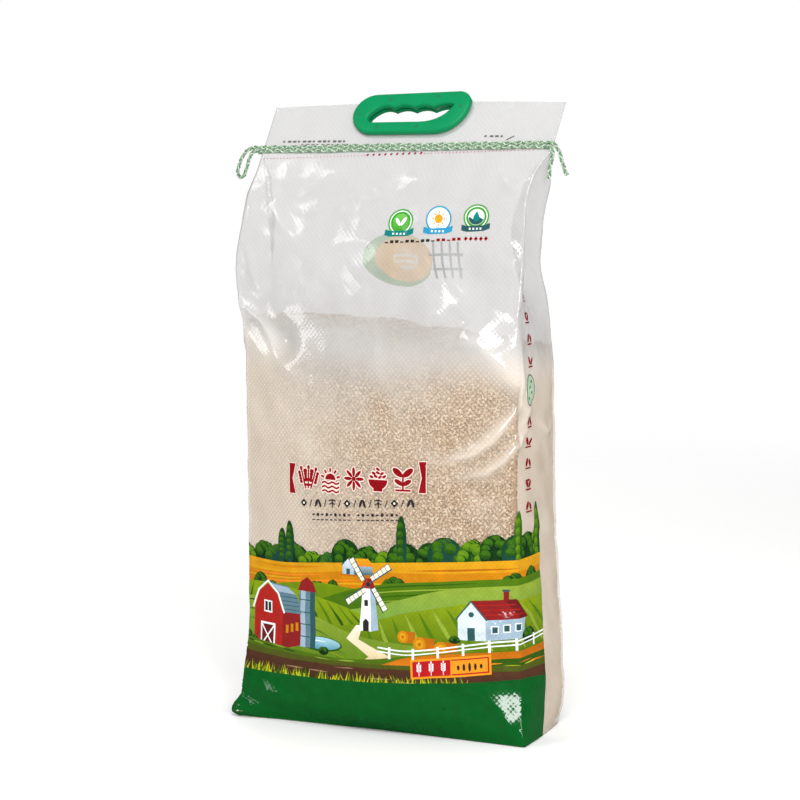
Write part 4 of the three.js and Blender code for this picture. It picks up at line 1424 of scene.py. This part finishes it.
def medallionShapes():
    # three plain round badges with a leaf, a sun and a hill under a drop, each over a short ribbon
    lower = np.linspace(math.pi * 1.04, math.pi * 1.96, 15)
    hillock = [(7.9 * math.cos(a), 7.5 * math.sin(a)) for a in lower]
    hillock += [(7.9 * t, -1 + 1.2 * math.sin(5 * t)) for t in (0.9, 0.45, 0, -0.45, -0.9)]
    rays = [(math.cos(math.pi / 4 * j), math.sin(math.pi / 4 * j)) for j in range(8)]
    badges = (
        (174, 487, "leaf", "teal", [
            ("leaf", oval(0, 0, 8.2, 7.8, 26), "sealGreen"), ("white", oval(-2.9, 0.2, 4.2, 1.7, 12, 2.2)),
            ("white", oval(2.9, 0.6, 4.6, 1.8, 12, 0.95))]),
        (213, 489.5, "blue", "blue", [
            ("white", oval(0, 0, 11, 10.5, 30)), ("water", oval(0, 0, 8.6, 8.2, 28)),
            ("white", oval(0, 0, 7.8, 7.4, 26)), ("sun", oval(0, 0.4, 4.2, 4.2, 16))]
            + [("sun", stroke([(out * c, 0.4 + out * s) for out in (4.8, 5.8, 6.9)], 1.3)) for c, s in rays]),
        (251, 492, "leaf", "slateDeep", [
            ("slateDeep", hillock),
            ("teal", [(0, 6), (3.2, 0.4), (3, -2.6), (0, -4.6), (-3, -2.6), (-3.2, 0.4)])]),
    )
    shapes = []
    for x, y, rim, ribbon, picture in badges:
        rings = [(rim, oval(0, 0, 13, 12.5, 30)), ("white", oval(0, 0, 11.4, 10.9, 30)),
                 (rim, oval(0, 0, 10.4, 9.9, 30)), ("white", oval(0, 0, 8.2, 7.8, 26))]
        band = [(ribbon, [(-14.5, -12.6), (-9, -14), (9, -13.2), (14.5, -11),
                          (14.5, -5.6), (9, -7.8), (-9, -8.6), (-14.5, -7.2)])]
        band += [("white", oblong(-6.6 + 3.7 * j, -12, -4.8 + 3.7 * j, -10.2)) for j in range(4)]
        shapes += moved(rings + picture + band, x, y)
    for k in range(15):
        mark = [("black" if k < 10 else "title", oblong(0, 0, 3.4, 2.6 if k % 3 else 1.2))]
        shapes += moved(mark, 162 + 5.1 * k, 466.4 + 0.052 * 5.1 * k)
    for k in range(5):
        shapes += moved([("title", [(0, 471.6), (2, 469.6), (4, 471.8), (2, 474)])], 240 + 5.1 * k, 0)
    return shapes


def gussetShapes():
    # small red ornaments down the gusset's middle, and a green outline like a bean
    shapes = []
    for k, up in enumerate((460, 438, 418, 398, 378, 357, 301, 282, 262, 242, 221)):
        turn = 0.5 if k % 2 else -0.4
        mark = [("title", oval(-2.6, 1.4, 1.9, 4.4, 10, turn)),
                ("title", oval(2.8, 0.6, 1.7, 4.0, 10, -turn)), ("title", oblong(-5.4, -5, 5, -3.6))]
        if k % 3 == 0:
            mark.append(("title", oval(0, 4.4, 3.4, 1.1, 10)))
        shapes += moved(mark, 326 if up > 350 else 321, up)
    bean = [(324 + (8.6 + 1.8 * math.sin(a)) * math.cos(a) - 2.2 * math.sin(a) ** 2, 331 + 15 * math.sin(a))
            for a in [2 * math.pi * k / 30 for k in range(30)]]
    shapes += [("treeCool", bean),
               ("beanPale", [(323.6 + (x - 323.6) * 0.89, 331 + (y - 331) * 0.93) for x, y in bean])]
    for k in range(4):
        shapes.append(("leaf", oval(324.6 if k % 2 else 321.4, 323.4 + 5.2 * k, 2.0, 1.5, 8, 0.5)))
    return shapes


def tearLineShapes():
    # a row of small red marks under the stitching, with larger dots in its middle
    shapes = []
    for k in range(78):
        x = 4 + 3.6 * k
        if not 112 < x < 172:
            shapes += moved([("dots", oblong(0, -0.5, 0.8, 0.5))], x, 548.4 + 0.0215 * x)
    for k in range(10):
        x = 115 + 6.1 * k
        shapes.append(("title", oval(x, 548.8 + 0.0215 * x, 1.15, 1.15, 10)))
    return shapes


def headerMarkShapes():
    # plain dark dashes along the header, left and right
    shapes = []
    for start, count, up, tall in ((19, 13, 566.0, 2.1), (40, 10, 562.9, 0.9), (229, 4, 569.0, 1.9)):
        for k in range(count):
            dash = [("markGrey", oblong(0, 0, 3.6 if k % 3 else 2.2, tall))]
            shapes += moved(dash, start + 5.4 * k, up - 0.07 * k)
    return shapes + [("black", stroke([(252, 565.4), (255, 567.6), (259, 570)], 0.9))]


def backSealShapes():
    # the back panel's own disc, which shows faintly through both films
    shapes = [("sealGreen", oval(0, 0, 38, 27, 40)), ("sealYellow", oval(-7, 1, 31, 23, 36)),
              ("cream", oval(-9, 1, 14, 10, 30))]
    shapes += [("sealYellow", stroke([(-19, y), (-8, y + 1), (3, y)], 3)) for y in (-5, 1, 7)]
    shapes += [("slateDeep", oblong(-68 + 9 * k, -18, -65.6 + 9 * k, 18)) for k in range(4)]
    shapes += [("slateDeep", oblong(-72, 4, -34, 6.4)), ("slateDeep", oblong(-70, -10, -37, -7.8))]
    return moved(shapes, 548, 449)


def addPrint():
    left, right = -printed["overGusset"], bag["panel"] + printed["overGusset"]
    printedSheet("print_landscape", landscape(left, right, True) + labelShapes(),
                 (left, printed["foot"], right, printed["frontTop"]), printed["frontSpacing"])
    for name, shapes, box in (("print_title", titleShapes(), (58, 200, 218, 268)),
                              ("print_medallions", medallionShapes(), (158, 462, 268, 506)),
                              ("print_gusset", gussetShapes(), (310, 210, 338, 470)),
                              ("print_tear_line", tearLineShapes(), (2, 545, 284, 559)),
                              ("print_header_marks", headerMarkShapes(), (12, 561, 290, 572))):
        printedSheet(name, shapes, box, printed["spacing"])
    printedSheet("print_back_seal", backSealShapes(), (470, 404, 590, 492), printed["sealSpacing"],
                 printed["backSealOut"])
    start = bag["panel"] + bag["gusset"] + printed["backGap"]
    stop = 2 * bag["panel"] + bag["gusset"] - printed["backGap"]
    printedSheet("print_back_fields", landscape(start, stop, False),
                 (start, printed["foot"], stop, printed["backTop"]), printed["backSpacing"])


addPrint()
print("print done")


# the handle: moulded polypropylene, its two halves closed over the header by hidden pins

handleLook = {
    "green": "#00834f", "greenPale": "#008f58", "pinShadeGreen": "#00764a",
    "roundEdge": 38,                               # degrees; edges that turn less are shaded round
    # the pin marks: across and up the header, on both faces of the handle, mm
    "pins": ((-50, 33), (-20, 50), (30, 52.5), (55, 41), (14, 17.6), (-28, 17.6)),
    "faceOut": 6.45, "pinRadius": 2.4, "pinSlope": 0.3, "pinProud": 0.12,
}


def handleMaterial():
    # injection-moulded polypropylene: an even waxy green, faintly see-through at thin edges, with a fine
    # mould texture that softens its highlights
    material, tree, shader = newMaterial("moulded_green_polypropylene", {
        "Roughness": 0.38, "IOR": 1.49, "Specular IOR Level": 0.22,
        "Subsurface Weight": 0.12, "Subsurface Radius": (0.3, 1.0, 0.5), "Subsurface Scale": 0.002})
    place = addNode(tree, "ShaderNodeTexCoord").outputs["Object"]
    flow = addNoise(tree, place, 45.0, 2.0).outputs["Fac"]
    addTint(tree, shader, linear(handleLook["green"]), linear(handleLook["greenPale"]), flow)
    addBump(tree, shader, addNoise(tree, place, 1500.0, 2.0).outputs["Fac"], 0.25, 0.12)
    return material


def addHandle():
    # the solid's own shape, with its loose facets joined and its edges shaded round
    build = bmesh.new()
    build.from_mesh(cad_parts["handle"].data)
    bmesh.ops.remove_doubles(build, verts=build.verts, dist=1e-6)
    for face in build.faces:
        face.smooth = True
    sharpest = math.radians(handleLook["roundEdge"])
    for edge in build.edges:
        edge.smooth = len(edge.link_faces) != 2 or edge.calc_face_angle(0) < sharpest
    grip = addObject("grip", meshFrom(build, "grip"), handleMaterial(), smooth=False)
    dress(grip, ["handle"])
    # the marks over the pins that hold the two halves together, low discs on both faces
    build = bmesh.new()
    for x, y in handleLook["pins"]:
        for side in (1, -1):
            start = headerPoint(x, y, side * handleLook["faceOut"])
            normal = Vector(headerPoint(0, 0, side) - headerPoint(0, 0, 0))
            upright = normal.to_track_quat("Z", "Y").to_matrix().to_4x4()
            turned = Matrix.Translation(Vector(start) * mm) @ upright
            bmesh.ops.create_cone(build, cap_ends=True, segments=20, radius1=handleLook["pinRadius"] * mm,
                                  radius2=(handleLook["pinRadius"] - handleLook["pinSlope"]) * mm,
                                  depth=2 * handleLook["pinProud"] * mm, matrix=turned)
    # the same plastic, duller where the pins' ends were pressed flush; its darker green is painted shade, as
    # of pin holes
    pins, tree, shader = newMaterial("pressed_pin_marks", {
        "Roughness": 0.5, "Base Color": linear(handleLook["pinShadeGreen"])})
    place = addNode(tree, "ShaderNodeTexCoord").outputs["Object"]
    addBump(tree, shader, addNoise(tree, place, 700.0, 2.0).outputs["Fac"], 0.3, 0.2)
    dress(addObject("grip_pins", meshFrom(build, "grip_pins"), pins, smooth=False))


addHandle()


# the closing stitches: two plaited rows in front, and the tighter loops of the same threads behind

stitchRows = {
    "ends": (-153.5, 150.5), "pitch": 4.0, "centre": -2.6, "tiltDeg": 0.4,
    "front": {"width": 4.4, "thick": 2.7, "strand": 1.6, "pitch": 11.5, "out": 1.75},
    "back": {"width": 3.6, "thick": 1.5, "strand": 1.0, "pitch": 6.4, "out": -1.5},
}


def addStitches():
    lean = math.radians(bag["leanDeg"])
    across = np.linspace(*stitchRows["ends"], 520)
    lift = math.tan(math.radians(stitchRows["tiltDeg"])) * across
    for side, facing in (("front", (0, -math.cos(lean), math.sin(lean))),
                         ("back", (0, math.cos(lean), -math.sin(lean)))):
        look = stitchRows[side]
        for place, step in (("upper", 0.5), ("lower", -0.5)):
            slope = stitchRows["centre"] + step * stitchRows["pitch"] + lift
            slope = slope + 0.35 * softWaves(across, 0 * across, 46, 13)
            slope = slope + 0.3 * np.sin(across * 1.3 + step * 4)
            path = headerPoint(across, slope, look["out"])
            plait(f"plaited_{side}_{place}", path, facing, look, [f"stitches_{side}_{place}"])


addStitches()
print("handle and stitches done")


# soft studio light on a plain pale floor, which fades into the white of the studio

stage = {
    "reach": 4.5, "solid": 0.5, "clear": 2.6, "gap": 0.0004,         # metres
    # the floor's dark grey in other surfaces' gloss is painted shade
    "floor": "#fcfcfb", "floorShadeInReflections": "#545454",
    # the studio is dark to a mirror, but for its lamps
    "whiteSeen": 1.0, "whiteLight": 0.52, "whiteMirrored": 0.08,
}


def floorMaterial():
    # matt paper, lost in the backdrop's white away from the bag
    material, tree, shader = newMaterial("matt_paper", {"Roughness": 0.9, "Specular IOR Level": 0.1})
    place = addNode(tree, "ShaderNodeTexCoord").outputs["Object"]
    far = addNode(tree, "ShaderNodeVectorMath", {"operation": "LENGTH"}, {0: place})
    fade = addNode(tree, "ShaderNodeMapRange", {
        "interpolation_type": "SMOOTHSTEP", "From Min": stage["solid"], "From Max": stage["clear"],
        "To Min": 1.0, "To Max": 0.0}, {"Value": far.outputs["Value"]})
    tree.links.new(fade.outputs["Result"], shader.inputs["Alpha"])
    # painted shade: the floor shows dark grey where the gloss of other things reflects it
    ray = addNode(tree, "ShaderNodeLightPath")
    addTint(tree, shader, linear(stage["floor"]), linear(stage["floorShadeInReflections"]),
            ray.outputs["Is Glossy Ray"])
    return material


def addStage():
    build = bmesh.new()
    bmesh.ops.create_grid(build, x_segments=1, y_segments=1, size=stage["reach"])
    bmesh.ops.translate(build, vec=(0, 0, -stage["gap"]), verts=build.verts)
    addObject("floor", meshFrom(build, "floor"), floorMaterial(), smooth=False)
    world = bpy.data.worlds.new("studio")
    world.use_nodes = True
    tree = world.node_tree
    ray = addNode(tree, "ShaderNodeLightPath")
    mirrored = addNode(tree, "ShaderNodeMapRange", {
        "To Min": stage["whiteLight"], "To Max": stage["whiteMirrored"]},
        {"Value": ray.outputs["Is Glossy Ray"]})
    strength = addNode(tree, "ShaderNodeMapRange", {"To Max": stage["whiteSeen"]}, {
        "Value": ray.outputs["Is Camera Ray"], "To Min": mirrored.outputs["Result"]})
    backdrop = tree.nodes["Background"]
    backdrop.inputs["Color"].default_value = (1, 1, 1, 1)
    tree.links.new(strength.outputs["Result"], backdrop.inputs["Strength"])
    scene.world = world
    scene.view_settings.view_transform = "Standard"


softboxes = [
    # name, place, target, size, watts, and whether the gloss mirrors it
    ("key_softbox", (0.55, -1.37, 2.16), (0, 0, 0.4), (0.86, 0.6), 19, True),
    ("crease_light", (-1.33, -1.04, 1.97), (0, 0, 0.4), (0.56, 0.4), 2.0, True),
    ("left_strip", (-1.74, -1.46, 0.8), (0, 0, 0.4), (0.3, 0.5), 1.3, True),
    ("right_strip", (1.32, -1.69, 1.02), (0, 0, 0.2), (0.46, 0.9), 18, True),
    ("left_softbox", (-1.6, -1.4, 1.2), (0, 0, 0.3), (1.2, 1.2), 8, False),
    ("right_softbox", (1.9, -0.5, 1.0), (0, 0, 0.3), (0.5, 1.4), 6, False),
    ("top_softbox", (0.1, 0.4, 2.3), (0, 0, 0.3), (1.8, 1.8), 10, False),
    ("back_softbox", (-1.2, 1.9, 1.3), (0, 0, 0.3), (1.4, 1.4), 12, False),
]


def addLights():
    for name, place, target, size, power, mirrored in softboxes:
        data = bpy.data.lights.new(name, "AREA")
        data.shape = "RECTANGLE"
        data.size, data.size_y = size
        data.energy = power
        lamp = bpy.data.objects.new(name, data)
        lamp.location = place
        lamp.visible_glossy = mirrored
        lamp.rotation_euler = (Vector(target) - Vector(place)).to_track_quat("-Z", "Y").to_euler()
        scene.collection.objects.link(lamp)


addStage()
addLights()
